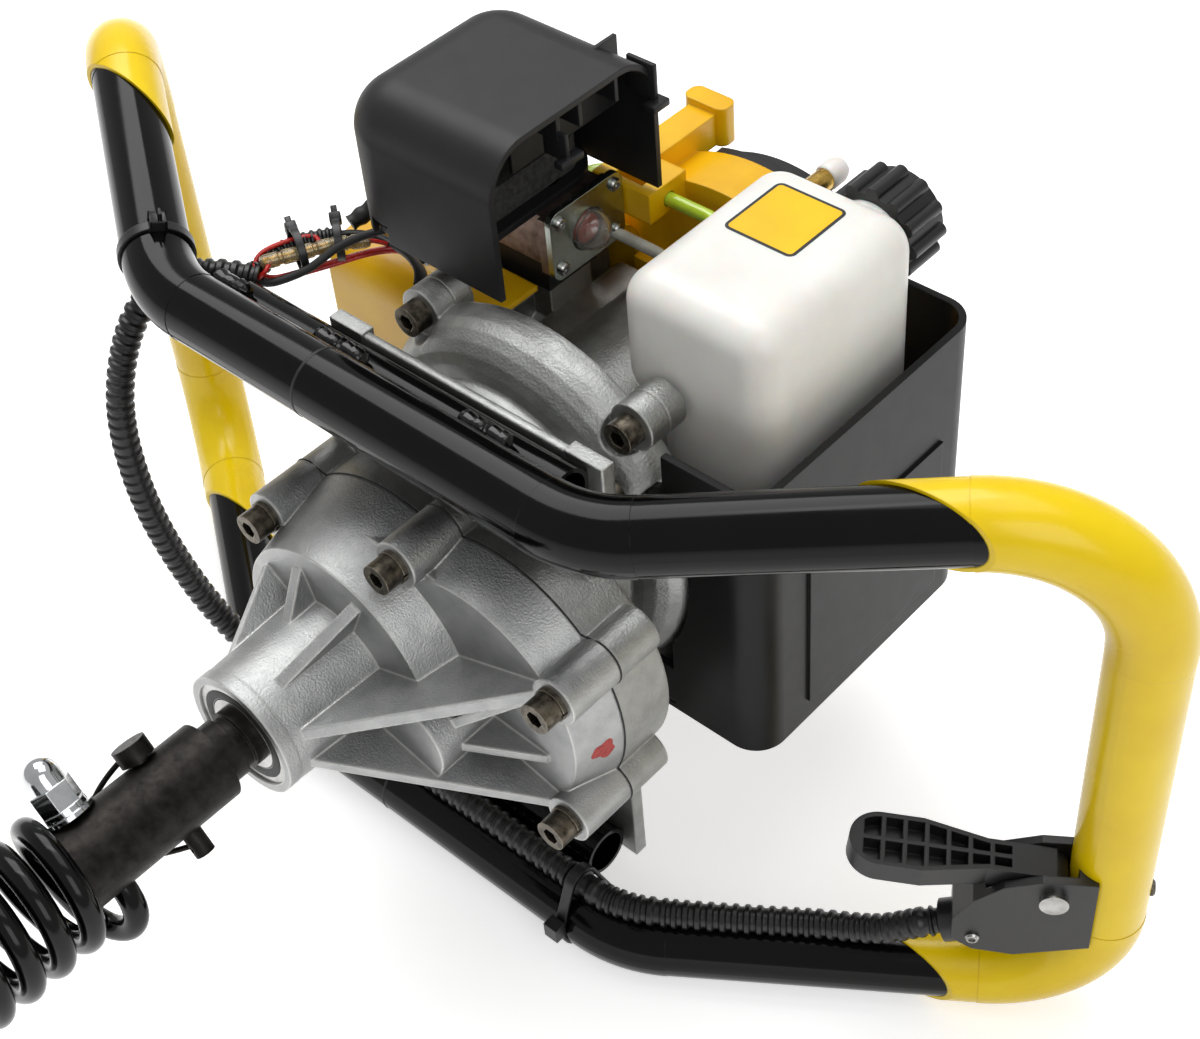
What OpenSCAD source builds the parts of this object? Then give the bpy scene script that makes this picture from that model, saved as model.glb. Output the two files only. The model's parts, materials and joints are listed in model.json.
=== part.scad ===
// Earth auger powerhead lying on its back. Sizes in millimetres.
// Machine axes: X right, Y back, Z up the auger shaft from the straight run of the handle frame.
// lay() turns the machine onto its back: Z becomes row Y and Y becomes row -Z.

/* [Handle frame] */
// Outside diameter of the bent tube
tube_d = 28; // [24:0.5:32]
// Wall of the bent tube
tube_wall = 1.8; // [1.2:0.1:3]
// Thickness of the dipped yellow coat
coat_t = 1.4; // [0.8:0.1:2.5]
// Half of the straight middle, to the sharp bend
mid_half = 110; // [100:1:130]
// Upward bend of the handles
leg_angle = 34; // [28:1:40]
// Leg length between sharp bends
leg_len = 189; // [175:1:210]
// Bend radius at the ends of the straight middle
bend_r = 60; // [45:1:75]
// Bend radius at the front handle corners
corner_r = 55; // [45:1:60]
// Bend radius at the back handle corners
back_r = 46; // [44:1:50]
// Front tube before the auger axis
front_y = 108; // [104:1:120]
// Back tube behind the auger axis
back_y = 127.4; // [122:0.2:140]
// Outward flare of the front legs
front_flare = 24; // [10:1:30]
// Inward lean of the back legs, so that the coat lies level with the bare tube
back_lean = 2.4; // [0:0.1:4]
// Height of the dip line of the yellow coat
dip_z = 62; // [50:1:75]
// Place of the butt seam in the straight runs
seam_x = -20; // [-40:1:20]
// Outside diameter of the brace tubes
brace_d = 22; // [18:0.5:25]
// Direction of the brace from the main tube, above the inward direction
brace_angle = 58; // [50:1:65]
// Bracket plate thickness
bracket_t = 6; // [4:0.5:8]

/* [Gearcase] */
// Nose face below the frame plane
nose_z = 83; // [80:1:90]
// Nose outside diameter
nose_d = 54; // [52:0.5:58]
// Radius of the gear drum at its front rim
drum_r = 49.5; // [48.5:0.5:51]
// Radius of the case at the parting face
case_r = 59; // [58:0.5:60]
// Middle of the screw pattern to the right of the output axis
case_x = 31; // [28:0.5:34]
// Middle of the screw pattern before the output axis
case_y = -6; // [-9:0.5:-3]
// Half width of the screw pattern
case_half = 76; // [74:0.5:80]
// Half height of the side screws
case_side = 34; // [32:0.5:38]
// Half height of the middle screws
case_mid = 55; // [53:0.5:60]
// Rib thickness
rib_t = 5; // [4:0.5:7]
// Bearing outside diameter at the nose
brg_d = 47; // [47:1:47]
// Output shaft diameter
shaft_d = 25; // [25:1:25]

/* [Gears] */
// Module of the first stage
mod_1 = 1.1; // [1.1:0.05:1.1]
// Module of the second stage
mod_2 = 1.5; // [1.5:0.05:1.5]
// Teeth of the drum pinion
teeth_p1 = 11; // [11:1:11]
// Teeth of the layshaft wheel
teeth_w1 = 68; // [66:1:68]
// Teeth of the layshaft pinion
teeth_p2 = 11; // [11:1:11]
// Teeth of the output gear
teeth_w2 = 55; // [54:1:55]
// Backlash at the pitch circle
backlash = 0.12; // [0.08:0.01:0.2]

/* [Engine] */
// Crank axis to the right of the output axis
eng_x = 24; // [23:0.5:25]
// Crank axis before the output axis
eng_y = -33; // [-34:0.5:-32]
// Cylinder axis above the frame plane
eng_z = 132; // [130:1:134]
// Bell flange radius
bell_r = 80; // [78:1:82]
// Bell face towards the engine
bell_z = 70; // [70:0.5:71]
// Half spacing of the bell screws across
lug_x = 54; // [53:0.5:55]
// Half spacing of the bell screws front to back
lug_y = 64; // [63:0.5:65]
// Blower housing radius
blower_r = 76; // [74:1:77]
// Starter radius
starter_r = 66; // [62:1:68]
// Top of the yellow arm
arm_top = 222; // [220:1:226]
// Underside of the blower housing
blower_z0 = 176; // [176:0.5:178]
// Height of the blower housing
blower_h = 24; // [22:1:26]
// Height of the starter cover on the blower housing
starter_h = 19; // [18:0.5:20]

/* [Tank and guard] */
// Tank inner side
tank_x0 = 68; // [67:0.5:70]
// Tank outer side
tank_x1 = 122; // [118:0.5:125]
// Tank face before the auger axis
tank_front = 142; // [138:1:146]
// Tank base behind the auger axis
tank_back = 42; // [42:0.5:44]
// Tank lower side
tank_z0 = 82; // [80:1:84]
// Tank upper side
tank_z1 = 174; // [170:1:174]
// Tank rounding
tank_r = 14; // [10:1:16]
// Guard outer side
guard_x = 138; // [134:1:142]
// Guard rim before the auger axis
guard_rim = 94; // [88:1:100]
// Guard upper side
guard_z1 = 192; // [188:1:196]
// Guard wall
guard_t = 3; // [2:0.25:3]

/* [Throttle] */
// Throttle pivot's place along the right crossbar
throttle_y = 55; // [52:1:56]
// Lever width
lever_w = 24; // [20:1:26]
// Lever length from the pivot
lever_len = 78; // [70:1:84]

/* [Shock spring] */
// Wire diameter
wire_d = 9.5; // [8.5:0.1:10]
// Mean coil diameter
coil_d = 45; // [44:0.5:48]
// Rise per coil
coil_pitch = 13.2; // [12.6:0.1:14]
// Number of full turns between the hooks' middles
coil_n = 6; // [5:1:7]
// Angle of the cross pin and spring hook round the shaft
cross_angle = 50; // [40:1:60]
// Coupling sleeve diameter
sleeve_d = 33; // [32:0.5:33]
// Bit spigot diameter
spigot_d = 20; // [20:1:20]
// Bit spigot length
spigot_len = 50; // [45:1:60]

/* [Hidden] */
$fn = 48;
run_gap = 0.05;
// frame
xbar = mid_half + leg_len * cos(leg_angle);
zbar = leg_len * sin(leg_angle);
coat_d = tube_d + 2 * coat_t;
yf1 = -front_y - front_flare;
yb1 = back_y - back_lean;
floor_y = back_y + tube_d / 2;
brace_off = (tube_d + brace_d) / 2;
brace_y = front_y - brace_off * cos(brace_angle);
brace_yb = back_y - brace_off * cos(brace_angle);
brace_z = brace_off * sin(brace_angle);
plate_z = brace_z + brace_d / 2;
brace_x0 = -mid_half + bend_r * tan(leg_angle / 2) + 1;
brace_x1 = 82;
blower_z1 = blower_z0 + blower_h;
rope_z = blower_z1 + starter_h - 7;
brk_xl = case_x - 73;
brk_xr = case_x + 49;
brk_w = 18;
brk_yf = -76;
ear_gap = 0.6;
brk_yb = 64;
// gear train
lay_out = mod_2 * (teeth_p2 + teeth_w2) / 2;
lay_in = mod_1 * (teeth_p1 + teeth_w1) / 2;
in_out = norm([eng_x, eng_y]);
lay_a = (lay_out * lay_out - lay_in * lay_in + in_out * in_out) / (2 * in_out);
lay_h = sqrt(lay_out * lay_out - lay_a * lay_a);
eng_dir = [eng_x, eng_y] / in_out;
lay_x = lay_a * eng_dir[0] - lay_h * eng_dir[1];
lay_y = lay_a * eng_dir[1] + lay_h * eng_dir[0];
w2_ang = atan2(lay_y, lay_x);
w1_ang = atan2(eng_y - lay_y, eng_x - lay_x);
press_a = 25;
part_z = 5;
rear_z = 30;
head_z = -20;
screw_pts = [
    [case_x - case_half, case_y - case_side],
    [case_x, case_y - case_mid],
    [case_x + case_half, case_y - case_side],
    [case_x + case_half, case_y + case_side],
    [case_x, case_y + case_mid],
    [case_x - case_half, case_y + case_side]
];
lug_pts = [
    [eng_x - lug_x, eng_y - lug_y],
    [eng_x + lug_x, eng_y - lug_y],
    [eng_x + lug_x, eng_y + lug_y],
    [eng_x - lug_x, eng_y + lug_y]
];
guard_tabs = [lug_pts[2], [eng_x + 70, eng_y - 37]];
tab_r = [10, 8];
// output line
sleeve_top = -98;
sleeve_end = -166;
pin_z = -120;
hook_z = -152;
hook_drop = 12.6;
coil_r = coil_d / 2;
hook_turn = 100;
coil_h = coil_pitch * (coil_n - hook_turn / 180);
hook_zb = hook_z - coil_h - 2 * hook_drop;
adapter_top = hook_zb + 14;
adapter_end = hook_zb - 30;
spigot_end = adapter_end - spigot_len;
row_y = -(arm_top + spigot_end) / 2;
clamp_t = 4.5;
row_x = -clamp_t / 2;

// Puts the machine on its back with the lowest tube on the floor.
module lay() {
    translate([row_x, row_y, floor_y]) rotate([-90, 0, 0]) children();
}

// Draws a flat shape given in X and Z and extrudes it from y0 to y1.
module along_y(y0, y1) {
    translate([0, y0, 0]) rotate([-90, 0, 0]) linear_extrude(y1 - y0) mirror([0, 1]) children();
}

// Draws a flat shape given in Y and Z and extrudes it from x0 to x1.
module along_x(x0, x1) {
    translate([x0, 0, 0]) rotate([90, 0, 90]) linear_extrude(x1 - x0) children();
}

module box(x0, x1, y0, y1, z0, z1) {
    translate([x0, y0, z0]) cube([x1 - x0, y1 - y0, z1 - z0]);
}

module disc(x, y, z0, z1, r) {
    translate([x, y, z0]) cylinder(h = z1 - z0, r = r);
}

module ring(x, y, z0, z1, ro, ri) {
    translate([x, y, z0]) linear_extrude(z1 - z0) difference() {
        circle(ro);
        circle(ri);
    }
}

module rod(p, q, d) {
    v = q - p;
    translate(p) rotate([0, acos(v[2] / norm(v)), atan2(v[1], v[0])]) cylinder(h = norm(v), d = d);
}

// Rounded rectangle from corner a to corner b.
module rrect(a, b, r) {
    translate([a[0] + r, a[1]]) square([b[0] - a[0] - 2 * r, b[1] - a[1]]);
    translate([a[0], a[1] + r]) square([b[0] - a[0], b[1] - a[1] - 2 * r]);
    for (x = [a[0] + r, b[0] - r], y = [a[1] + r, b[1] - r]) translate([x, y]) circle(r);
}

// Upright half section of a rounded block: out to r_up, with rims rounded by r_rim.
module half_rim(h, r_up, r_rim) {
    square([r_up - r_rim, h]);
    translate([r_up - r_rim, r_rim]) square([r_rim, h - 2 * r_rim]);
    for (z = [r_rim, h - r_rim]) translate([r_up - r_rim, z]) intersection() {
        circle(r_rim);
        translate([0, -r_rim]) square([r_rim, 2 * r_rim]);
    }
}

// Block from corner a to corner b with upright edges rounded by r_up and rims rounded by r_rim.
module rblock(a, b, r_up, r_rim) {
    h = b[2] - a[2];
    lo = [a[0] + r_up, a[1] + r_up];
    hi = [b[0] - r_up, b[1] - r_up];
    translate([0, 0, a[2]]) {
        along_x(lo[0], hi[0]) rrect([a[1], 0], [b[1], h], r_rim);
        along_y(lo[1], hi[1]) translate([hi[0], 0]) half_rim(h, r_up, r_rim);
        along_y(lo[1], hi[1]) translate([lo[0], 0]) mirror([1, 0]) half_rim(h, r_up, r_rim);
        for (k = [[hi[0], hi[1], 0], [lo[0], hi[1], 90], [lo[0], lo[1], 180], [hi[0], lo[1], 270]])
            translate([k[0], k[1], 0]) rotate([0, 0, k[2]])
                rotate_extrude(angle = 90) half_rim(h, r_up, r_rim);
    }
}

function unit(v) = v / norm(v);
function turn(p, i) = acos(unit(p[i] - p[i - 1]) * unit(p[i + 1] - p[i]));
function tang(p, r, i) = i == 0 || i == len(p) - 1 ? 0 : r[i] * tan(turn(p, i) / 2);

// Straights reach a little into the bends, which are swelled by the bending.
lap = 0.2;
function swell(d) = 0.15 + 0.009 * d;

// Round bar through points p, bent to the radii r, its ends longer by ext.
module bent_bar(p, r, d, ext) {
    for (i = [0 : len(p) - 2]) {
        a = unit(p[i + 1] - p[i]);
        e0 = i == 0 ? ext : lap;
        e1 = i == len(p) - 2 ? ext : lap;
        s = p[i] + a * (tang(p, r, i) - e0);
        e = p[i + 1] - a * (tang(p, r, i + 1) - e1);
        rod(s, e, d);
    }
    for (i = [1 : len(p) - 2]) {
        a = unit(p[i] - p[i - 1]);
        b = unit(p[i + 1] - p[i]);
        c = p[i] + unit(b - a) * r[i] / cos(turn(p, i) / 2);
        u = unit(p[i] - a * tang(p, r, i) - c);
        w = cross(u, a);
        translate(c) rotate([atan2(a[2], w[2]), -asin(u[2]), atan2(u[1], u[0])])
            rotate_extrude(angle = turn(p, i)) translate([r[i], 0]) circle(d = d + swell(d));
    }
}

// Bent tube with bore di.
module bent(p, r, d, di) {
    difference() {
        bent_bar(p, r, d, 0);
        bent_bar(p, r, di, 1);
    }
}

function half_path(s) = [
    [seam_x, -front_y, 0],
    [s * mid_half, -front_y, 0],
    [s * xbar, yf1, zbar],
    [s * xbar, yb1, zbar],
    [s * mid_half, back_y, 0],
    [seam_x, back_y, 0]
];
half_radii = [0, bend_r, corner_r, back_r, bend_r, 0];

module frame_left() {
    color("#141414") lay() bent(half_path(-1), half_radii, tube_d, tube_d - 2 * tube_wall);
}

module frame_right() {
    color("#141414") lay() bent(half_path(1), half_radii, tube_d, tube_d - 2 * tube_wall);
}

module coat(s) {
    intersection() {
        bent(half_path(s), half_radii, coat_d, tube_d);
        box(-xbar - 60, xbar + 60, yf1 - 60, yb1 + 60, dip_z, zbar + 60);
    }
}

module coat_left() {
    color("#ebd000") lay() coat(-1);
}

module coat_right() {
    color("#ebd000") lay() coat(1);
}

module brace(y) {
    along_x(brace_x0, brace_x1) translate([y, brace_z]) difference() {
        circle(d = brace_d);
        circle(d = brace_d - 2 * tube_wall);
    }
}

module brace_front() {
    color("#141414") lay() brace(-brace_y);
}

module brace_back() {
    color("#141414") lay() brace(brace_yb);
}

module bracket(x, y0, y1, hole_y) {
    difference() {
        box(x - brk_w / 2, x + brk_w / 2, y0, y1, plate_z, plate_z + bracket_t);
        disc(x, hole_y, plate_z - 1, plate_z + bracket_t + 1, 4.5);
    }
}

module brackets_front() {
    color("#1a1a1a") lay() for (x = [brk_xl, brk_xr]) bracket(x, -brace_y - 8, brk_yf + 5, brk_yf);
}

module brackets_back() {
    color("#1a1a1a") lay() for (x = [brk_xl, brk_xr]) bracket(x, brk_yb - 10, brace_yb + 8, brk_yb);
}

brk_pts = [[brk_xl, brk_yf], [brk_xr, brk_yf], [brk_xl, brk_yb], [brk_xr, brk_yb]];

// Socket screw with its head on face z, shank along dir (1 up, -1 down).
module socket_screw(x, y, z, d, len, dir) {
    translate([x, y, z]) rotate([dir > 0 ? 0 : 180, 0, 0]) difference() {
        union() {
            translate([0, 0, -d]) cylinder(h = d, r = 0.8 * d);
            translate([0, 0, -0.01]) cylinder(h = len, r = d / 2);
        }
        translate([0, 0, -d - 1]) cylinder(h = d * 0.6 + 1, r = 0.46 * d, $fn = 6);
    }
}

module bracket_screws() {
    color("#3a3733") lay() for (p = brk_pts)
        socket_screw(p[0], p[1], plate_z + bracket_t, 8, bracket_t + 10, -1);
}

drum_front = -33;
lobe_front = -15;
drum_c = [2, -3];
lobe_c = [case_x + 26.5, case_y];
boss_r = 10;
gear_room = mod_2 * (teeth_w2 / 2 + 0.9) + 1.2;
wheel_room = mod_1 * (teeth_w1 / 2 + 0.9) + 1.5;

// Block that closes the waist between the two round ends of the case.
module waist(z0, z1) {
    translate([drum_c[0], case_y - case_r + 8, z0]) cube([lobe_c[0] - drum_c[0], 2 * case_r - 16, z1 - z0]);
}

// Rib from the nose towards angle a: z0 at the nose, z1 at radius far.
module rib(a, far, z0, z1) {
    rotate([0, 0, a]) rotate([90, 0, 0]) translate([0, 0, -rib_t / 2]) linear_extrude(rib_t)
        polygon([[nose_d / 2 - 4, z0], [far, z1], [far, -10], [nose_d / 2 - 4, -10]]);
}

// Small rib on the lower face, from the layshaft boss outwards.
module lay_rib(a, far) {
    translate([lay_x, lay_y, 0]) rotate([0, 0, a]) rotate([90, 0, 0]) translate([0, 0, -2]) linear_extrude(4)
        polygon([[14, lobe_front - 20], [far, lobe_front - 1], [far, -10], [14, -10]]);
}

module cover_solid() {
    translate([drum_c[0], drum_c[1], drum_front])
        cylinder(h = part_z - drum_front, r1 = drum_r, r2 = case_r, $fn = 96);
    translate([lobe_c[0], lobe_c[1], lobe_front])
        cylinder(h = part_z - lobe_front, r1 = case_r - 7, r2 = case_r - 0.5, $fn = 96);
    waist(lobe_front + 1, part_z);
    for (p = screw_pts) disc(p[0], p[1], head_z, part_z, boss_r);
    disc(0, 0, -nose_z, -nose_z + 6, nose_d / 2);
    translate([0, 0, -nose_z + 5]) cylinder(h = nose_z - 36, r1 = nose_d / 2 - 0.3, r2 = nose_d / 2 + 2);
    disc(lay_x, lay_y, -43, -5, 18);
    for (i = [0, 4, 5]) rib(atan2(screw_pts[i][1], screw_pts[i][0]), drum_r - 4, -nose_z + 9, drum_front - 1);
    rib(-65, drum_r - 3, -nose_z + 7, drum_front - 1);
    rib(-106, drum_r - 5, drum_front - 18, drum_front - 1);
    for (i = [2, 3])
        rib(atan2(screw_pts[i][1], screw_pts[i][0]), norm(screw_pts[i]) - 8, -nose_z + 8, head_z + 1);
    for (a = [-34, 4, 52]) lay_rib(a, a < 50 ? 46 : 38);
}

module gearcase_cover() {
    color("#b8b5b0") lay() difference() {
        cover_solid();
        disc(0, 0, -nose_z - 1, -41, brg_d / 2);
        disc(0, 0, -42, -28, 15);
        disc(0, 0, -29, part_z + 1, gear_room);
        disc(lay_x, lay_y, -11, part_z + 1, wheel_room);
        disc(lay_x, lay_y, -31, part_z + 1, 11);
        disc(lay_x, lay_y, -38, -30, 14);
        disc(eng_x, eng_y, -12, part_z + 1, 9);
        for (p = screw_pts) {
            disc(p[0], p[1], head_z - 9, part_z + 1, 4.5);
            disc(p[0], p[1], head_z - 16, head_z, 7.4);
        }
    }
}

module rear_solid() {
    disc(drum_c[0], drum_c[1], part_z, rear_z, case_r);
    disc(lobe_c[0], lobe_c[1], part_z, rear_z, case_r - 0.5);
    waist(part_z, rear_z);
    for (p = screw_pts) disc(p[0], p[1], part_z, rear_z - 4, boss_r);
    for (p = brk_pts) {
        y0 = p[1] < 0 ? -brace_y + brace_d / 2 + ear_gap : case_y;
        y1 = p[1] < 0 ? case_y : p[1] + 9;
        box(p[0] - brk_w / 2, p[0] + brk_w / 2, y0, y1, 22, plate_z);
    }
    translate([eng_x, eng_y, 0]) rotate_extrude()
        polygon(concat([[0, rear_z - 4], [51, rear_z - 4], [53.5, rear_z], [57, 34], [60, 46]],
            [for (a = [0 : 15 : 90]) [61 + (bell_r - 61) * sin(a), bell_z - 4 - 19 * cos(a)]],
            [[bell_r, bell_z], [0, bell_z]]));
    for (p = lug_pts) disc(p[0], p[1], 60, bell_z, 10);
    disc(guard_tabs[1][0], guard_tabs[1][1], 60, bell_z, 8);
}

module gearcase_rear() {
    color("#a5a5a0") lay() difference() {
        rear_solid();
        translate([eng_x, eng_y, 0]) rotate_extrude()
            polygon([
                [0, 33], [47, 33], [50, 40], [58, 50], [64, 60], [74, 64], [74, bell_z + 1], [0, bell_z + 1]
            ]);
        disc(eng_x, eng_y, part_z - 1, 34, 17.5);
        disc(lay_x, lay_y, part_z - 1, 14, 14);
        for (p = screw_pts) disc(p[0], p[1], part_z - 1, 26, 4.02);
        for (p = brk_pts) disc(p[0], p[1], 20, plate_z + 1, 4.02);
        for (p = lug_pts) {
            disc(p[0], p[1], 58, bell_z + 1, 4.5);
            disc(p[0], p[1], 40, 60, 10.3);
        }
        disc(guard_tabs[1][0], guard_tabs[1][1], 58, bell_z + 1, 3.02);
        disc(guard_tabs[1][0], guard_tabs[1][1], 40, 60, 8.3);
        for (k = [0, 1]) translate([guard_tabs[k][0], guard_tabs[k][1] - tab_r[k] - 0.3, 40])
            cube([23, 2 * tab_r[k] + 0.6, 20]);
    }
}

module gearcase_screws() {
    color("#6a635a") lay() for (p = screw_pts) socket_screw(p[0], p[1], head_z - 2, 8, 44, 1);
}

module gearcase_washers() {
    color("#77706a") lay() for (p = screw_pts) difference() {
        ring(p[0], p[1], head_z - 2, head_z, 7, 4);
        translate([p[0] + 2, p[1] - 0.6, head_z - 3]) cube([8, 1.2, 4]);
    }
}

module output_bearing_rings() {
    color("#8e8e90") lay() for (z = [-nose_z + 1, -53]) ring(0, 0, z, z + 12, brg_d / 2, 16.4);
}

module output_bearing_races() {
    color("#9a9a9c") lay() for (z = [-nose_z + 1, -53]) ring(0, 0, z, z + 12, 16, shaft_d / 2);
}

module case_bearings() {
    color("#8e8e90") lay() {
        for (z = [6, 18, 98, 156]) ring(eng_x, eng_y, z, z + 11, 17.5, 7.5 + run_gap);
        for (z = [-38, 6]) ring(lay_x, lay_y, z, z + 8, 14, 6 + run_gap);
    }
}

function deg_inv(a) = tan(a) * 180 / PI - a;
function tooth_half(m, z, r) = let (rb = m * z / 2 * cos(press_a))
    90 / z - backlash / (m * z) * 90 / PI + deg_inv(press_a) - (r > rb ? deg_inv(acos(rb / r)) : 0);
function polar(r, a) = [r * cos(a), r * sin(a)];

// Flat involute gear: addendum 0.9 m, dedendum 1.2 m.
module gear_flat(m, z) {
    rp = m * z / 2;
    rb = rp * cos(press_a);
    rt = rp + 0.9 * m;
    rf = rp - 1.2 * m;
    rs = max(rb, rf);
    rm = (rs + rt) / 2;
    up_side = [[rs, -1], [rm, -1], [rt, -1], [rt, 1], [rm, 1], [rs, 1]];
    steps = rf < rs ? concat([[rf, -1]], up_side, [[rf, 1]]) : up_side;
    polygon([for (k = [0 : z - 1], q = steps)
        polar(q[0], 360 * k / z + q[1] * tooth_half(m, z, max(q[0], rs)))]);
}

module output_shaft() {
    color("#2e2b2a") lay() difference() {
        union() {
            disc(0, 0, -nose_z - 3, -10, shaft_d / 2);
            disc(0, 0, -nose_z - 7, -nose_z - 3, shaft_d / 2 - 1.6);
            disc(0, 0, -130, -nose_z - 7, shaft_d / 2);
        }
        rotate([0, 0, cross_angle]) translate([-20, 0, pin_z]) rotate([0, 90, 0]) cylinder(h = 40, r = 4);
    }
}

module output_gear() {
    color("#75706b") lay() translate([0, 0, -28]) difference() {
        union() {
            linear_extrude(16) rotate(w2_ang) gear_flat(mod_2, teeth_w2);
            cylinder(h = 18, r = 19);
        }
        translate([0, 0, -1]) cylinder(h = 30, r = shaft_d / 2);
    }
}

module layshaft() {
    color("#75706b") lay() translate([lay_x, lay_y, 0]) {
        translate([0, 0, -29]) linear_extrude(16.5)
            rotate(w2_ang + 180 + 180 / teeth_p2) gear_flat(mod_2, teeth_p2);
        translate([0, 0, -38]) cylinder(h = 9.5, r = 5.2);
        translate([0, 0, -38]) cylinder(h = 8, r = 6);
        translate([0, 0, -13]) cylinder(h = 27, r = 6);
    }
}

module layshaft_wheel() {
    color("#75706b") lay() translate([lay_x, lay_y, -8]) difference() {
        linear_extrude(10) rotate(w1_ang) gear_flat(mod_1, teeth_w1);
        translate([0, 0, -1]) cylinder(h = 12, r = 6);
    }
}

module clutch_drum() {
    color("#8a8580") lay() translate([eng_x, eng_y, 0]) {
        translate([0, 0, -9]) linear_extrude(12.5)
            rotate(w1_ang + 180 + 180 / teeth_p1) gear_flat(mod_1, teeth_p1);
        translate([0, 0, 3]) cylinder(h = 2, r = 6);
        translate([0, 0, 4.5]) cylinder(h = 31.5, r = 7.5);
        translate([0, 0, 35]) cylinder(h = 4, r = 39);
        translate([0, 0, 38.5]) linear_extrude(20) difference() {
            circle(39);
            circle(36);
        }
    }
}

module clutch_shoes() {
    color("#5c5754") lay() translate([eng_x, eng_y, 42]) difference() {
        cylinder(h = 14, r = 35.4);
        translate([0, 0, -1]) cylinder(h = 20, r = 8);
        for (a = [0, 120, 240]) rotate([0, 0, a]) translate([9.5, -1.5, -1]) cube([40, 3, 20]);
    }
}

module crankshaft() {
    color("#8b8783") lay() translate([eng_x, eng_y, 0]) {
        translate([0, 0, 42]) cylinder(h = 54, r = 8);
        translate([0, 0, 96]) cylinder(h = 72, r = 7.5);
        translate([0, 0, 168]) cylinder(h = blower_z1 - 164, r = 6);
        translate([0, 0, eng_z - 20]) cylinder(h = 40, r = 30);
    }
}

module flywheel() {
    color("#9c9a97") lay() translate([eng_x, eng_y, blower_z0 + 5]) difference() {
        union() {
            cylinder(h = 4, r = 60);
            cylinder(h = 15, r = 24);
            for (a = [0 : 22.5 : 359]) rotate([0, 0, a]) translate([22, -1.5, 0]) cube([37, 3, 14]);
        }
        translate([0, 0, -1]) cylinder(h = 20, r = 6);
    }
}

module crankcase() {
    color("#9a9a96") lay() difference() {
        union() {
            disc(eng_x, eng_y, bell_z, 168, 42);
            for (p = lug_pts) {
                disc(p[0], p[1], bell_z, bell_z + 9, 10);
                v = p - [eng_x, eng_y];
                translate([eng_x, eng_y, bell_z]) rotate([0, 0, atan2(v[1], v[0])])
                    translate([30, -6.5, 0]) cube([norm(v) - 30, 13, 9]);
            }
            box(-20, eng_x, eng_y - 30, eng_y + 30, eng_z - 30, eng_z + 30);
        }
        disc(eng_x, eng_y, bell_z - 1, 98, 11);
        disc(eng_x, eng_y, 98, 169, 17.5);
        disc(eng_x, eng_y, 109, 155, 33);
        translate([-21, eng_y, eng_z]) rotate([0, 90, 0]) cylinder(h = 40, r = 22);
        for (p = lug_pts) disc(p[0], p[1], bell_z - 1, bell_z + 10, 4.02);
    }
}

module bell_screws() {
    color("#6a635a") lay() {
        for (i = [0, 1, 3]) socket_screw(lug_pts[i][0], lug_pts[i][1], 60, 8, bell_z - 53, 1);
        socket_screw(lug_pts[2][0], lug_pts[2][1], 60 - guard_t, 8, bell_z - 53 + guard_t, 1);
        socket_screw(guard_tabs[1][0], guard_tabs[1][1], 60 - guard_t, 6, bell_z - 60 + guard_t, 1);
    }
}

module cylinder_fins() {
    for (x = [-30 : -8 : -86]) box(x - 2.5, x, eng_y - 35, eng_y + 35, eng_z - 34, eng_z + 34);
}

module engine_cylinder() {
    color("#a3a29e") lay() difference() {
        union() {
            translate([-92, eng_y, eng_z]) rotate([0, 90, 0]) cylinder(h = 72, r = 28);
            cylinder_fins();
            box(-44, -20, eng_y - 43, eng_y, eng_z - 12, eng_z + 12);
            box(-60, -36, eng_y, eng_y + 49, eng_z - 14, eng_z + 14);
        }
        translate([-80, eng_y, eng_z]) rotate([0, 90, 0]) cylinder(h = 70, r = 22);
        translate([-32, eng_y - 50, eng_z]) rotate([-90, 0, 0]) cylinder(h = 40, r = 8);
        translate([-48, eng_y + 10, eng_z]) rotate([-90, 0, 0]) cylinder(h = 50, r = 9);
        translate([-93, eng_y, eng_z]) rotate([0, 90, 0]) cylinder(h = 20, r = 7);
    }
}

module spark_plug() {
    color("#c9c5bd") lay() translate([-92, eng_y, eng_z]) rotate([0, -90, 0]) {
        translate([0, 0, -10]) cylinder(h = 10, r = 7);
        cylinder(h = 9, r = 10.4, $fn = 6);
        translate([0, 0, 8]) cylinder(h = 20, r = 5);
    }
}

module plug_boot() {
    color("#161616") lay() difference() {
        union() {
            translate([-103, eng_y, eng_z]) rotate([0, -90, 0]) cylinder(h = 24, r = 9);
            translate([-120, eng_y - 24, eng_z]) rotate([-90, 0, 0]) cylinder(h = 24, r = 6.5);
        }
        translate([-100, eng_y, eng_z]) rotate([0, -90, 0]) cylinder(h = 20, r = 5);
    }
}

module muffler() {
    color("#3b3936") lay() difference() {
        rblock([-84, 16, eng_z - 32], [-20, 60, eng_z + 32], 8, 6);
        translate([-48, 10, eng_z]) rotate([-90, 0, 0]) cylinder(h = 46, r = 9);
        translate([-85, 38, eng_z + 16]) rotate([0, 90, 0]) cylinder(h = 40, r = 6);
        translate([-48, 38, eng_z]) cylinder(h = 22, r = 5);
    }
}

module insulator() {
    color("#2a2522") lay() difference() {
        box(-46, -18, eng_y - 59, eng_y - 43, eng_z - 14, eng_z + 14);
        translate([-32, eng_y - 60, eng_z]) rotate([-90, 0, 0]) cylinder(h = 20, r = 8);
    }
}

carb_y0 = eng_y - 83;
carb_y1 = eng_y - 59;
bulb_y = (carb_y0 + carb_y1) / 2;
plate_x = -10;

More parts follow.
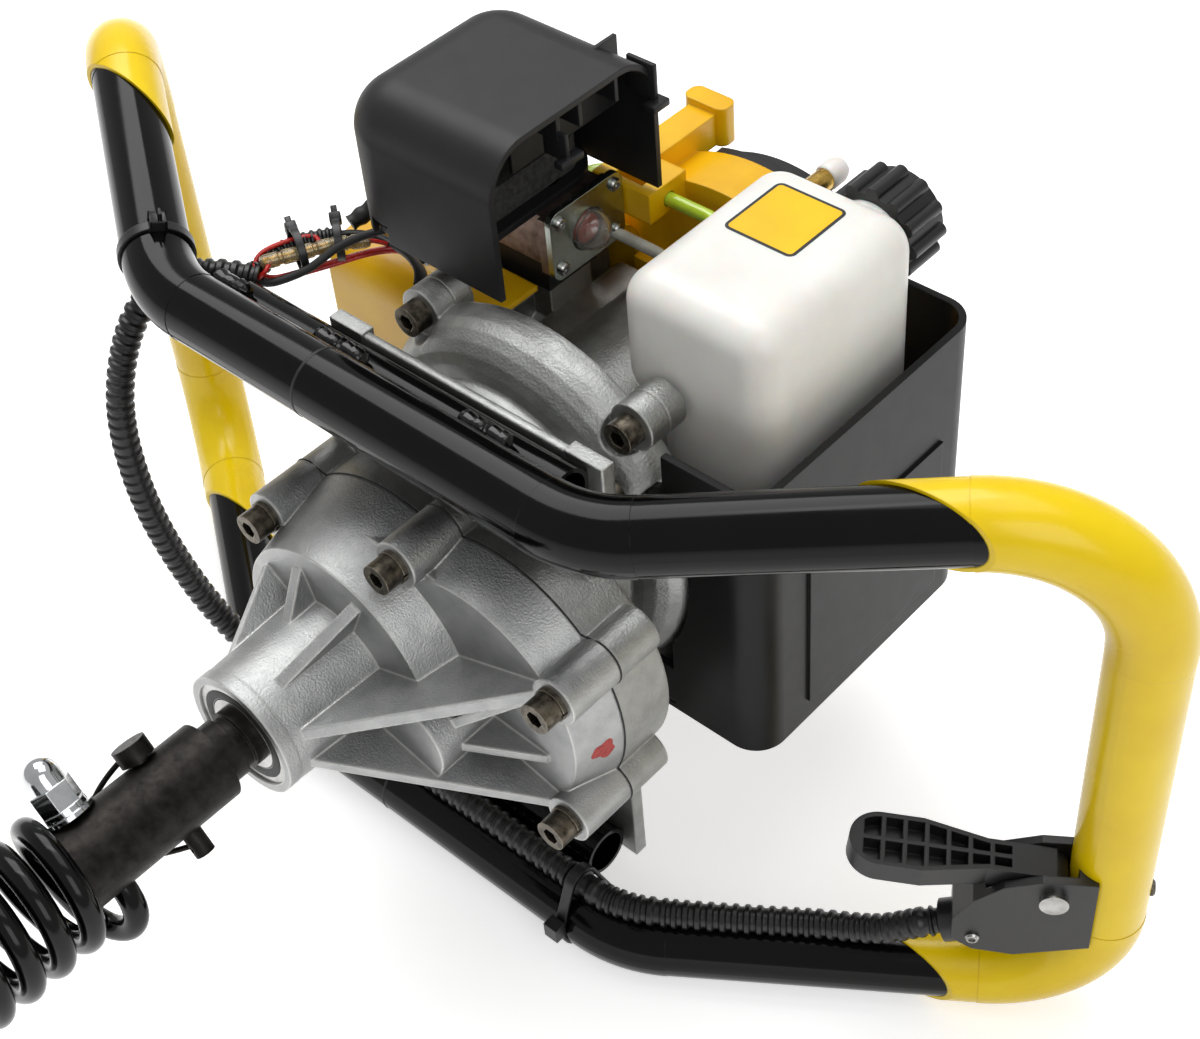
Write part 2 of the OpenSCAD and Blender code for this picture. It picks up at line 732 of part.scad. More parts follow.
module carburettor() {
    color("#6e5f5a") lay() difference() {
        union() {
            box(-50, plate_x - 4, carb_y0, carb_y1, eng_z - 17, eng_z + 17);
            box(plate_x - 6, plate_x, carb_y0, bulb_y + 14, eng_z - 19, eng_z + 19);
            translate([-32, bulb_y, eng_z + 16]) cylinder(h = 6, r = 6);
            translate([-58, bulb_y, eng_z - 4]) rotate([0, 90, 0]) cylinder(h = 9, r = 6);
        }
        translate([-32, carb_y0 - 1, eng_z]) rotate([-90, 0, 0]) cylinder(h = 30, r = 8);
        translate([plate_x - 6, bulb_y, eng_z]) rotate([0, 90, 0]) cylinder(h = 7, r = 9.2);
        translate([-59, bulb_y, eng_z - 4]) rotate([0, 90, 0]) cylinder(h = 6, r = cable_r + 0.3);
    }
}

module primer_plate() {
    color("#9fa8a0") lay() difference() {
        along_x(plate_x, plate_x + 3) rrect([bulb_y - 17, eng_z - 21], [bulb_y + 15, eng_z + 21], 5);
        translate([plate_x - 1, bulb_y, eng_z]) rotate([0, 90, 0]) cylinder(h = 6, r = 9.2);
    }
}

module primer_bulb() {
    color("#8a4a34") lay() translate([plate_x - 1.5, bulb_y, eng_z]) rotate([0, 90, 0]) {
        cylinder(h = 6, r = 8.9);
        translate([0, 0, 6]) difference() {
            sphere(r = 8.2);
            translate([-10, -10, -20]) cube([20, 20, 20]);
        }
    }
}

hood_x0 = -76;
hood_x1 = 8;
hood_y0 = -178;
hood_y1 = carb_y0 + 1;
hood_z0 = 68;
hood_z1 = 160;
hood_r = 22;
hood_t = 2.5;
base_in = hood_t + 0.2;

module filter_base() {
    color("#2b2b2d") lay() difference() {
        along_y(carb_y0 - 3, carb_y0)
            rrect([hood_x0 + base_in, hood_z0 + base_in], [hood_x1 - 26, hood_z1 - base_in],
                hood_r - base_in);
        translate([-32, carb_y0 - 4, eng_z]) rotate([-90, 0, 0]) cylinder(h = 6, r = 9);
    }
}

module filter_element() {
    color("#4a4a48") lay() along_y(carb_y0 - 18, carb_y0 - 3)
        rrect([hood_x0 + 10, hood_z0 + 10], [hood_x1 - 32, hood_z1 - 10], 8);
}

// Hood's block, g smaller all round: it runs on past the open right end and the open back.
module hood_solid(g) {
    rotate([90, 0, 0]) rblock([hood_x0 + g, hood_z0 + g, -hood_y1 - 50 - g],
        [hood_x1 + 50 + g, hood_z1 - g, -hood_y0 - g], hood_r - g, hood_r - 2 - g);
}

module filter_cover() {
    color("#303033") lay() {
        difference() {
            hood_solid(0);
            hood_solid(hood_t);
            box(hood_x0 - 1, hood_x1 + 100, hood_y1, hood_y1 + 100, hood_z0 - 1, hood_z1 + 1);
            box(hood_x1, hood_x1 + 100, hood_y0 - 1, hood_y1 + 1, hood_z0 - 1, hood_z1 + 1);
            box(hood_x0 + 14, hood_x0 + 24, hood_y1 - 8, hood_y1 + 1, hood_z0 - 1, hood_z0 + 8);
        }
        for (z = [107, 119, 139]) box(hood_x1 - 20, hood_x1 - 2, hood_y0 + 1, hood_y0 + 14, z, z + 1.8);
        box(hood_x1 - 20, hood_x1 - 18.2, hood_y0 + 1, hood_y0 + 30, hood_z0 + 30, hood_z1 - 1);
    }
}

shr_x0 = -112;
shr_x1 = -21;
shr_y0 = eng_y - 47;
shr_y1 = eng_y + 47;
shr_z0 = 81;
shr_z1 = blower_z0 - 0.2;

module cylinder_cover() {
    color("#f0d010") lay() difference() {
        along_x(shr_x0, shr_x1) rrect([shr_y0, shr_z0], [shr_y1, shr_z1], 16);
        along_x(shr_x0 + 3, shr_x1 + 1)
            rrect([shr_y0 + 2.5, shr_z0 + 2.5], [shr_y1 - 2.5, shr_z1 - 2.5], 13.5);
        box(-50, shr_x1 + 1, shr_y0 - 1, shr_y0 + 4, eng_z - 18, eng_z + 18);
        box(-62, -34, shr_y1 - 4, shr_y1 + 1, eng_z - 16, eng_z + 16);
        translate([shr_x0 - 1, eng_y, eng_z]) rotate([0, 90, 0]) cylinder(h = 6, r = 12);
        for (z = [96 : 10 : 116]) box(-96, -66, shr_y0 - 1, shr_y0 + 4, z, z + 5);
    }
}

module blower_housing() {
    color("#f0d010") lay() difference() {
        union() {
            disc(eng_x, eng_y, blower_z0, blower_z1, blower_r);
            box(-24, 6, -112, -98, eng_z + 22, blower_z0 + 0.5);
            box(-22, -8, -113, -98, blower_z0, arm_top - 3);
            along_y(-116, -98) rrect([-26, arm_top - 10], [-4, arm_top], 4);
            box(eng_x - 42, eng_x + 20, eng_y - 30, eng_y - 20, 168, blower_z0 + 0.5);
        }
        disc(eng_x, eng_y, blower_z0 + 3, blower_z1 + 1, blower_r - 3);
        disc(eng_x, eng_y, 150, blower_z0 + 4, 32);
        box(-16, -1, -114, -90, 158, 162);
        translate([-30, bulb_y, hose_z]) rotate([0, 90, 0]) cylinder(h = 40, r = 3.3);
    }
}

module starter_cover() {
    color("#1b1b1c") lay() difference() {
        union() {
            disc(eng_x, eng_y, blower_z1, blower_z1 + 4, blower_r);
            disc(eng_x, eng_y, blower_z1 + 3, blower_z1 + starter_h, starter_r);
        }
        disc(eng_x, eng_y, blower_z1 - 1, blower_z1 + starter_h - 3, starter_r - 3);
        for (a = [0 : 30 : 359]) rotate_about(a) translate([22, -2.5, rope_z]) cube([34, 5, 10]);
        translate([eng_x, eng_y + starter_r + 12, rope_z]) rotate([90, 0, 0]) cylinder(h = 24, r = 2.3);
        box(-30, 2, -120, -96, blower_z1 - 1, arm_top);
    }
}

module rotate_about(a) {
    translate([eng_x, eng_y, 0]) rotate([0, 0, a]) children();
}

module starter_grip() {
    color("#222222") lay() translate([eng_x, eng_y + starter_r, rope_z]) rotate([-90, 0, 0]) {
        translate([0, 0, -68]) cylinder(h = 72, r = 2);
        translate([0, 0, 0.3]) cylinder(h = 6, r1 = 6, r2 = 8);
        translate([-17, 0, 12]) rotate([0, 90, 0]) cylinder(h = 34, r = 7);
    }
}

cap_x = 98;
cap_y = -122;
vent_x = 66;
vent_y = -126;

module tank_solid(g) {
    rblock([tank_x0 + g, -tank_front + g, tank_z0 + g], [tank_x1 - g, tank_back - g, tank_z1 - g],
        tank_r - g, tank_r - 2 - g);
    rblock([tank_x0 - 16 + g, -tank_front + g, tank_z0 + g], [tank_x1 - g, -84 - g, tank_z1 - g],
        tank_r - g, tank_r - 2 - g);
}

module fuel_tank() {
    color("#e6e3de") lay() difference() {
        union() {
            tank_solid(0);
            disc(cap_x, cap_y, tank_z1 - 2, tank_z1 + 10, 15);
        }
        tank_solid(3);
        disc(cap_x, cap_y, tank_z1 - 6, tank_z1 + 11, 12);
        disc(vent_x, vent_y, tank_z1 - 6, tank_z1 + 1, 4.02);
    }
}

module fuel_cap() {
    color("#1d1d1e") lay() difference() {
        union() {
            disc(cap_x, cap_y, tank_z1 + 1, tank_z1 + 22, 18);
            for (a = [0 : 30 : 359])
                disc(cap_x + 18 * cos(a), cap_y + 18 * sin(a), tank_z1 + 1, tank_z1 + 20, 3);
        }
        disc(cap_x, cap_y, tank_z1, tank_z1 + 10.3, 15 + run_gap);
    }
}

module tank_vent() {
    color("#c9a85a") lay() difference() {
        union() {
            disc(vent_x, vent_y, tank_z1 - 5, tank_z1 + 1, 4);
            disc(vent_x, vent_y, tank_z1, tank_z1 + 4, 6);
            disc(vent_x, vent_y, tank_z1 + 3, tank_z1 + 24, 4.5);
        }
        disc(vent_x, vent_y, tank_z1 - 6, tank_z1 + 20, 1.5);
    }
}

// Smooth curve through hand-chosen points, n samples to a span.
function cr(a, b, c, d, t) = 0.5 * (2 * b + (c - a) * t + (2 * a - 5 * b + 4 * c - d) * t * t
    + (3 * b - a - 3 * c + d) * t * t * t);
function span_n(p, i, step) = max(2, round(norm(p[i + 1] - p[i]) / step));
function smooth(p, step) = concat([for (i = [0 : len(p) - 2], k = [0 : span_n(p, i, step) - 1])
    cr(p[max(i - 1, 0)], p[i], p[i + 1], p[min(i + 2, len(p) - 1)], k / span_n(p, i, step))],
    [p[len(p) - 1]]);
function dir_at(c, i) = unit(c[min(i + 1, len(c) - 1)] - c[max(i - 1, 0)]);
function loop_at(c, i, r, n, up) = let (t = dir_at(c, i), a = unit(cross(t, up)), b = cross(t, a))
    [for (k = [0 : n - 1]) c[i] + r * (cos(360 * k / n) * a + sin(360 * k / n) * b)];
function joined(n, s, t, f) = [for (k = [0 : n - 1]) f
    ? [s + k, s + (k + 1) % n, t + (k + 1) % n, t + k]
    : [s + k, t + k, t + (k + 1) % n, s + (k + 1) % n]];

// Solid rod swept along a curve.
module swept(c, r, n, up) {
    m = len(c);
    polyhedron(points = [for (i = [0 : m - 1]) each loop_at(c, i, r, n, up)],
        faces = concat([[for (k = [0 : n - 1]) k]],
            [for (i = [0 : m - 2]) each joined(n, i * n, (i + 1) * n, false)],
            [[for (k = [n - 1 : -1 : 0]) (m - 1) * n + k]]), convexity = 10);
}

// Ribbed hose with a bore: ribs are pairs of rings.
module ribbed(c, r, rv, ri, n, up) {
    m = len(c);
    q = [for (i = [0 : 4 : m - 1]) i];
    s = q[len(q) - 1] == m - 1 ? q : concat(q, [m - 1]);
    w = len(s);
    polyhedron(points = concat(
            [for (i = [0 : m - 1]) each loop_at(c, i, i < 2 || i > m - 3 || i % 2 == 0 ? r : rv, n, up)],
            [for (i = s) each loop_at(c, i, ri, n, up)]),
        faces = concat([for (i = [0 : m - 2]) each joined(n, i * n, (i + 1) * n, false)],
            [for (i = [0 : w - 2]) each joined(n, (m + i) * n, (m + i + 1) * n, true)],
            joined(n, 0, m * n, true),
            joined(n, (m - 1) * n, (m + w - 1) * n, false)), convexity = 10);
}

hose_x = -32;
hose_z = eng_z + 34;
feed_path = [[hose_x, bulb_y, eng_z + 22], [hose_x, bulb_y, hose_z], [34, bulb_y, hose_z],
    [34, bulb_y, hose_z - 18],
    [tank_x0 - 16, bulb_y, hose_z - 18]];
back_path = [[plate_x + 3, bulb_y + 11, eng_z + 15], [18, bulb_y + 11, eng_z + 15], [38, bulb_y + 4, eng_z],
    [tank_x0 - 16, bulb_y + 4, eng_z]];

module fuel_hose() {
    color("#a8c83a") lay() bent(feed_path, [0, 8, 8, 8, 0], 6, 3);
}

module return_hose() {
    color("#b9b8b0") lay() bent(back_path, [0, 14, 10, 0], 5, 2.4);
}

module guard_walls() {
    difference() {
        along_y(-guard_rim, tank_back + guard_t) difference() {
            rrect([0, 60 - guard_t], [guard_x, guard_z1], 14);
            rrect([-20, 60], [guard_x - guard_t, guard_z1 - guard_t], 14 - guard_t);
        }
        box(-30, 94, -guard_rim - 1, tank_back + guard_t + 1, 50, 150);
        disc(eng_x, eng_y, 50, bell_z, bell_r + 0.3);
        box(-30, eng_x + blower_r + 2, -guard_rim - 1, tank_back + guard_t + 1, 149, guard_z1 + 1);
    }
    intersection() {
        along_y(tank_back, tank_back + guard_t) rrect([0, 60 - guard_t], [guard_x, guard_z1], 14);
        box(70, guard_x, 0, tank_back + 10, 60 - guard_t, guard_z1);
    }
}

module tank_guard() {
    color("#232325") lay() difference() {
        union() {
            guard_walls();
            translate([0, 0, 60 - guard_t]) linear_extrude(guard_t) {
                translate(guard_tabs[0]) circle(10);
                translate(guard_tabs[0] - [0, 10]) square([22, 20]);
                translate(guard_tabs[1]) circle(8);
                translate(guard_tabs[1] - [0, 8]) square([12, 16]);
            }
            along_y(-44, 34) translate([guard_x - 1, 86]) square([2.2, 84]);
        }
        disc(guard_tabs[0][0], guard_tabs[0][1], 50, 70, 4.5);
        disc(guard_tabs[1][0], guard_tabs[1][1], 50, 70, 3.4);
    }
}

// Local axes on the right crossbar: x inwards, y to the front, z up.
module at_throttle() {
    translate([xbar, throttle_y, zbar]) rotate([0, leg_angle, 180]) children();
}

piv_x = 21.6;
lever_tilt = 7;
lever_y0 = -2;
lever_y1 = 8;
body_z0 = -16;
body_z1 = 6;
slot_z0 = -12.5;
slot_z1 = 2.5;
seat_gap = 0.05;

module throttle_housing() {
    color("#1d1d1f") lay() difference() {
        at_throttle() difference() {
            union() {
                translate([0, 0, body_z0]) linear_extrude(body_z1 - body_z0)
                    polygon([
                        [6, 10], [26, 10], [40, 5], [51, -5], [58, -17], [58, -30], [50, -36],
                        [34, -38], [6, -30]
                    ]);
                translate(mouth_root) rotate([0, 0, mouth_turn]) rotate([0, 90, 0])
                    cylinder(h = mouth_len, r = 8.5);
            }
            translate([0, 0, slot_z0]) linear_extrude(slot_z1 - slot_z0)
                polygon([[13, -6.5], [32, -6.5], [54, 2], [54, 20], [13, 20]]);
            translate([piv_x, 0, -30]) cylinder(h = 60, r = 3 + run_gap);
            translate(mouth_root) rotate([0, 0, mouth_turn]) rotate([0, 90, 0]) translate([0, 0, 6])
                cylinder(h = mouth_len, r = cond_d / 2 + 0.2);
        }
        bent_bar([[xbar, -40, zbar], [xbar, yb1, zbar], [mid_half, back_y, 0]], [0, back_r, 0],
            coat_d + 2 * seat_gap, 0);
    }
}

// Lever seen from the front, g smaller all round, from s along its length.
module paddle(g, s) {
    far = lever_len - lever_w / 2;
    neck = (slot_z1 - slot_z0) / 2 - 0.6 - g;
    wide = lever_w / 2 - g;
    polygon([
        [s, -neck], [26, -neck], [50, -wide], [far, -wide], [far, wide], [50, wide], [26, neck], [s, neck]
    ]);
    translate([far, 0]) circle(wide);
}

module lever_pockets() {
    intersection() {
        paddle(2, 16);
        for (k = [0 : 6], y = [0.9, -20.9]) translate([17 + 8.2 * k, y]) square([6.4, 20]);
    }
}

module throttle_lever() {
    mid = (slot_z0 + slot_z1) / 2;
    color("#202022") lay() at_throttle() translate([piv_x, 0, mid]) rotate([0, 0, lever_tilt]) difference() {
        union() {
            translate([0, 0, slot_z0 - mid + 0.3]) cylinder(h = slot_z1 - slot_z0 - 0.6, r = 5.5);
            along_y(lever_y0, lever_y1) paddle(0, 0);
        }
        translate([0, 0, -30]) cylinder(h = 60, r = 3 + run_gap);
        along_y(lever_y1 - 6, lever_y1 + 1) lever_pockets();
    }
}

module throttle_pivot() {
    color("#c4c2bc") lay() at_throttle() translate([piv_x, 0, body_z0]) {
        translate([0, 0, -0.5]) cylinder(h = body_z1 - body_z0 + 1, r = 3);
        translate([0, 0, -3]) cylinder(h = 3, r = 5.5);
    }
}

// Place of the conduit mouth in the throttle housing, and the way out of it.
cond_d = 12;
function th(l) = [xbar - l[0] * cos(leg_angle) - l[2] * sin(leg_angle), throttle_y - l[1],
    zbar - l[0] * sin(leg_angle) + l[2] * cos(leg_angle)];
mouth_root = [44, -26, -7];
mouth_turn = -18;
mouth_len = 18;
mouth_way = [cos(mouth_turn), sin(mouth_turn), 0];
mouth = th(mouth_root + mouth_len * mouth_way);
mouth_dir = unit(mouth - th(mouth_root));
cond_y = back_y - (tube_d + cond_d) / 2 - 0.3;
cond_l = cond_y - coat_t - 1;
conduit_path = [mouth - 6 * mouth_dir, mouth + 3 * mouth_dir, mouth + 9 * mouth_dir, [198, 99, 53.5],
    [176, cond_l, 43.5],
    [150, cond_y - 1, 26.5], [124, cond_y - 0.4, 9.6], [108, cond_y, 2.2], [90, cond_y, 0],
    [30, cond_y, 0], [-40, cond_y, 0], [-90, cond_y - 2, -2], [-118, 78, -10], [-134, 40, -16],
    [-142, 0, -18], [-144, -40, -14], [-143, -72, 0], [-135, -90, 17], [-118, -94, 29], [-102, -92, 39.4]];
conduit_curve = smooth(conduit_path, 2.4);

module conduit() {
    color("#191919") lay() ribbed(conduit_curve, cond_d / 2, cond_d / 2 - 1.1, 3.6, 8, [0.35, 0.3, 0.88]);
}

cable_r = 1.7;
cable_path = [[-106.2, -92.6, 34.9], [-101.2, -92, 38.2], [-96.2, -91.8, 41.4], [-88, -95, 53],
    [-82, -101, 67],
    [-72, -105, 80], [-62, -105, 92], [-59, -104, 104], [-66, -103, 114], [-71, -104, 122], [-67, -104, 128],
    [-62, -104, 128], [-54, -104, 128]];

module throttle_cable() {
    color("#151515") lay() swept(smooth(cable_path, 5), cable_r, 10, [0.2, 0.9, 0.3]);
}

wire_r = 0.85;
wire_path = [[-107.9, -92.6, 37.5], [-102.9, -92, 40.7], [-97.9, -91.2, 44], [-94, -90, 54], [-88, -90, 66],
    [-80, -91, 79], [-70, -93, 85.5], [-58, -95, 83], [-48, -96.5, 77.5], [-41, -97, 71]];

module stop_wires() {
    color("#b3261e") lay() for (s = [-0.95, 0.95])
        swept([for (p = smooth(wire_path, 6)) p + [0, s, 0]], wire_r, 8, [0.2, 0.9, 0.3]);
}

// Strap round the back tube and the conduit, with its lock.
tie_x = 87;
tie_t = 1.3;
tie_d = (tube_d + cond_d) / 2 + 0.3;
tie_a = acos((tube_d - cond_d) / 2 / tie_d);

module tie_flat(g) {
    r1 = tube_d / 2 + g;
    r2 = cond_d / 2 + 0.3 + g;
    circle(r1);
    translate([-tie_d, 0]) circle(r2);
    polygon([polar(r1, 180 - tie_a), polar(r2, 180 - tie_a) - [tie_d, 0], polar(r2, 180 + tie_a) - [tie_d, 0],
        polar(r1, 180 + tie_a)]);
}

module cable_tie() {
    color("#121212") lay() {
        along_x(tie_x - 2.4, tie_x + 2.4) translate([back_y, 0]) difference() {
            tie_flat(tie_t);
            tie_flat(0.05);
        }
        box(tie_x - 3.5, tie_x + 3.5, back_y - 9, back_y - 1, -tube_d / 2 - 6, -tube_d / 2 - 0.4);
    }
}

module coupling_sleeve() {
    color("#25221f") lay() difference() {
        disc(0, 0, sleeve_end, sleeve_top, sleeve_d / 2);
        disc(0, 0, -130, sleeve_top + 1, shaft_d / 2);
        disc(0, 0, sleeve_end - 1, hook_z - 9, 10);
        rotate([0, 0, cross_angle]) {
            translate([-20, 0, pin_z]) rotate([0, 90, 0]) cylinder(h = 40, r = 4);
            translate([-20, 0, hook_z]) rotate([0, 90, 0]) cylinder(h = 40, r = wire_d / 2 + 0.5);
        }
    }
}

module coupling_pin() {
    color("#2b2826") lay() rotate([0, 0, cross_angle]) {
        difference() {
            translate([-24, 0, pin_z]) rotate([0, 90, 0]) cylinder(h = 50, r = 4);
            translate([22, 0, pin_z - 6]) cylinder(h = 12, r = 1.3);
        }
        translate([-24.5, 0, pin_z]) rotate([0, 90, 0]) cylinder(h = 7, r = 7);
    }
}

hook_pts = [[-35, 0, 0], [-20, 0, 0], [0, 0, 0], [19, 0, 0], [28, 3, -1.4], [32, 11, -4], [29, 20, -7.2],
    [19.5, 25, -10], [8, 25, -11.6]];
hook_top = [for (p = hook_pts) [p[0], p[1], hook_z + p[2]]];
hook_low = [for (i = [len(hook_pts) - 1 : -1 : 0])
    [hook_pts[i][0], -hook_pts[i][1], hook_zb - hook_pts[i][2]]];
coil_sweep = 360 * coil_n - 2 * hook_turn;
coil_steps = round(coil_sweep / 30);
coil_pts = [for (k = [0 : coil_steps]) let (f = k / coil_steps, a = hook_turn + coil_sweep * f)
    [coil_r * cos(a), coil_r * sin(a), hook_z - hook_drop - coil_h * f]];
hook_path_a = smooth(hook_top, 6);
hook_path_b = smooth(hook_low, 6);
spring_line = concat(hook_path_a, coil_pts, hook_path_b);

module spring() {
    color("#0e0e0e") lay() rotate([0, 0, cross_angle]) swept(spring_line, wire_d / 2, 10, [0.05, 0.02, 1]);
}

// Least gap of the spring to itself, on its own points.
coil_gap = min([for (i = [0 : len(spring_line) - 1], j = [i + 8 : 1 : len(spring_line) - 1])
    norm(spring_line[i] - spring_line[j])]) - wire_d;
echo(spring_gap = coil_gap);

module cap_nut(z) {
    rotate([0, 0, cross_angle]) translate([-sleeve_d / 2, 0, z]) rotate([0, -90, 0]) difference() {
        union() {
            translate([0, 0, 0.2]) cylinder(h = 1.8, r = 10);
            translate([0, 0, 2]) cylinder(h = 2.4, r = 8.6);
            translate([0, 0, 4.4]) cylinder(h = 9, r = 8.6, $fn = 6);
            translate([0, 0, 13]) cylinder(h = 5, r = 7);
            translate([0, 0, 18]) sphere(r = 7);
        }
        translate([0, 0, -1]) cylinder(h = 21, r = wire_d / 2 + 0.1);
    }
}

module spring_nut_top() {
    color("#cfd0d0") lay() cap_nut(hook_z);
}

module spring_nut_low() {
    color("#cfd0d0") lay() cap_nut(hook_zb);
}

module bit_adapter() {
    color("#25221f") lay() difference() {
        union() {
            disc(0, 0, adapter_end, adapter_top, sleeve_d / 2);
            disc(0, 0, spigot_end, adapter_end + 1, spigot_d / 2);
        }
        rotate([0, 0, cross_angle]) translate([-20, 0, hook_zb]) rotate([0, 90, 0])
            cylinder(h = 40, r = wire_d / 2 + 0.5);
        translate([-20, 0, spigot_end + 18]) rotate([0, 90, 0]) cylinder(h = 40, r = 4.1);
    }
}

frame_left();
frame_right();
coat_left();
coat_right();
brace_front();
brace_back();
brackets_front();
brackets_back();
bracket_screws();
gearcase_cover();
gearcase_rear();
gearcase_screws();
gearcase_washers();
output_bearing_rings();
output_bearing_races();
case_bearings();
output_shaft();
output_gear();
layshaft();
layshaft_wheel();
clutch_drum();
clutch_shoes();
crankshaft();
flywheel();
crankcase();
bell_screws();
engine_cylinder();
spark_plug();
plug_boot();
muffler();
insulator();
carburettor();
primer_plate();
primer_bulb();
filter_base();
filter_element();
filter_cover();
cylinder_cover();
blower_housing();
starter_cover();
starter_grip();
fuel_tank();
fuel_cap();
tank_vent();
fuel_hose();
return_hose();
tank_guard();
throttle_housing();
throttle_lever();
throttle_pivot();
conduit();
cable_tie();
throttle_cable();
stop_wires();
coupling_sleeve();
coupling_pin();
spring();
spring_nut_top();
spring_nut_low();
bit_adapter();
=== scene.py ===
"""Looks for an earth auger powerhead lying on its back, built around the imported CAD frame."""

import json
import logging
import math
from dataclasses import dataclass
from enum import Enum
from typing import Callable, Optional, Sequence, Union

import bpy
import bmesh
from mathutils import Matrix, Vector

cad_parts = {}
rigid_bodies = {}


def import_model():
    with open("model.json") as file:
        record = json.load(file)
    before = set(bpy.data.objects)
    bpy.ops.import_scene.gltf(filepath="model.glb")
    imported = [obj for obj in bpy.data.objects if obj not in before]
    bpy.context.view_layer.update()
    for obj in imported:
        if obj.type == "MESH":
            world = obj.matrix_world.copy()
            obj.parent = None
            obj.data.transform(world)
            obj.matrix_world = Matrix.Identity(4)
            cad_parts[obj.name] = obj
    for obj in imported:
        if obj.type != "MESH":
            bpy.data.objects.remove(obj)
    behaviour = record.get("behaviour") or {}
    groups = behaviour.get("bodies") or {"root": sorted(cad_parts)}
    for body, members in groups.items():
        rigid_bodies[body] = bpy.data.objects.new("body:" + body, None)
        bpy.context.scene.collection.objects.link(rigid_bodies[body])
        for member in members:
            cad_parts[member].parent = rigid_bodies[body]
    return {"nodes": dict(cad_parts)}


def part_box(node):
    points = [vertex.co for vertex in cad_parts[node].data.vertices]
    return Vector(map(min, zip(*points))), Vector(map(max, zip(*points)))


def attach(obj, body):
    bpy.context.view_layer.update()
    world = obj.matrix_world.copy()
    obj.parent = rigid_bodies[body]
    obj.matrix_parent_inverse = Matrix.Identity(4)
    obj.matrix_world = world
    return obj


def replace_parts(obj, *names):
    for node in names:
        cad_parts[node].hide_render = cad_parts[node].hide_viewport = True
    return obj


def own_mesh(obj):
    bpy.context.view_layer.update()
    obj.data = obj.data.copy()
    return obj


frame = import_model()

LOG = logging.getLogger("auger")
IMAGE_SIZE = (1200, 1039)
MM = 0.001
SHARP = math.radians(35)
Pair = tuple[float, float]
Point = tuple[float, float, float]
Route = tuple[Point, ...]
Line = Sequence[Sequence[float]]
Ring = Sequence[bmesh.types.BMVert]
Radius = Union[float, Callable[[int], float]]
Mesh = bmesh.types.BMesh
Socket = bpy.types.NodeSocket


class Body(str, Enum):
    """Names of the CAD bodies that pieces ride on."""

    POWERHEAD = "powerhead"
    OUTPUT = "output"
    PRIMER = "primer"


class Machine:
    """Machine axes in millimetres (X right, Y back, Z up the auger) to the row frame in metres."""

    nose_drop: float = 83.0

    def __init__(self) -> None:
        """Reads the offsets from where the shaft and the gearcase nose are."""
        low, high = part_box("output_bearing_rings")
        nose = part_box("gearcase_cover")[0]
        self.origin = Vector(((low.x + high.x) / 2, nose.y + self.nose_drop * MM, (low.z + high.z) / 2))

    def at(self, p: Sequence[float]) -> Vector:
        """Row position in metres of a machine point in millimetres."""
        return self.origin + self.way(p) * MM

    @staticmethod
    def way(v: Sequence[float]) -> Vector:
        """Row direction of a machine direction."""
        return Vector((v[0], v[2], -v[1]))


MACHINE = Machine()
AXES = [MACHINE.way(v) for v in ((1, 0, 0), (0, 1, 0), (0, 0, 1))]


def linear(hex_colour: str) -> tuple[float, float, float, float]:
    """Turns an sRGB hex colour into linear RGBA.

    Args:
        hex_colour: colour such as "#ebd000".

    Returns:
        Linear red, green, blue and alpha.
    """
    parts = [int(hex_colour[i:i + 2], 16) / 255 for i in (1, 3, 5)]
    r, g, b = (c / 12.92 if c <= 0.04045 else ((c + 0.055) / 1.055) ** 2.4 for c in parts)
    return r, g, b, 1.0


class Graph:
    """A material's node tree with one way to add nodes."""

    octave_gain: float = 0.55

    def __init__(self, name: str) -> None:
        """Starts an empty material.

        Args:
            name: what the material is and how it was made.
        """
        self.material = bpy.data.materials.new(name)
        self.material.use_nodes = True
        self.tree = self.material.node_tree
        self.tree.nodes.clear()

    def add(self, kind: str, links: Optional[dict] = None, **settings) -> bpy.types.Node:
        """Adds a node.

        Args:
            kind: Blender's node type without its ShaderNode prefix.
            links: input name or index to the socket that feeds it.
            settings: attributes, input values by name, or in_N for the value of input N.

        Returns:
            The new node.
        """
        node = self.tree.nodes.new("ShaderNode" + kind)
        for key, value in settings.items():
            if key in node.inputs:
                node.inputs[key].default_value = value
            elif key.startswith("in_"):
                node.inputs[int(key[3:])].default_value = value
            else:
                setattr(node, key, value)
        for key, socket in (links or {}).items():
            self.tree.links.new(socket, node.inputs[key])
        return node

    def ramp(self, fac: Socket, stops: Sequence[tuple[float, tuple]]) -> Socket:
        """Adds a colour ramp.

        Args:
            fac: value that drives it.
            stops: two positions with linear colours.

        Returns:
            Its colour output.
        """
        node = self.add("ValToRGB", {"Fac": fac})
        elements = node.color_ramp.elements
        for element, (position, colour) in zip(elements, stops):
            element.position = position
            element.color = colour
        return node.outputs["Color"]

    def noise(self, size_mm: float, detail: float = 3.0) -> Socket:
        """Adds noise with features of a real size.

        Args:
            size_mm: feature size in millimetres.
            detail: octaves.

        Returns:
            The noise value, 0 to 1.
        """
        coords = self.add("TexCoord").outputs["Object"]
        node = self.add("TexNoise", {"Vector": coords}, Scale=1000 / size_mm, Detail=detail,
                        Roughness=self.octave_gain)
        return node.outputs["Fac"]


# Noise values between which the second colour turns into the main one.
MOTTLE = (0.3, 0.62)
# Agreement of the rounded and the flat normal at which an edge is lightened fully, and not at all: partly
# scuffed metal, partly a painted edge highlight.
EDGE_WEAR_AND_HIGHLIGHT_STOPS = (0.80, 0.97)
COAT_ROUGHNESS = 0.06
GLOW_DEPTH_MM = 4


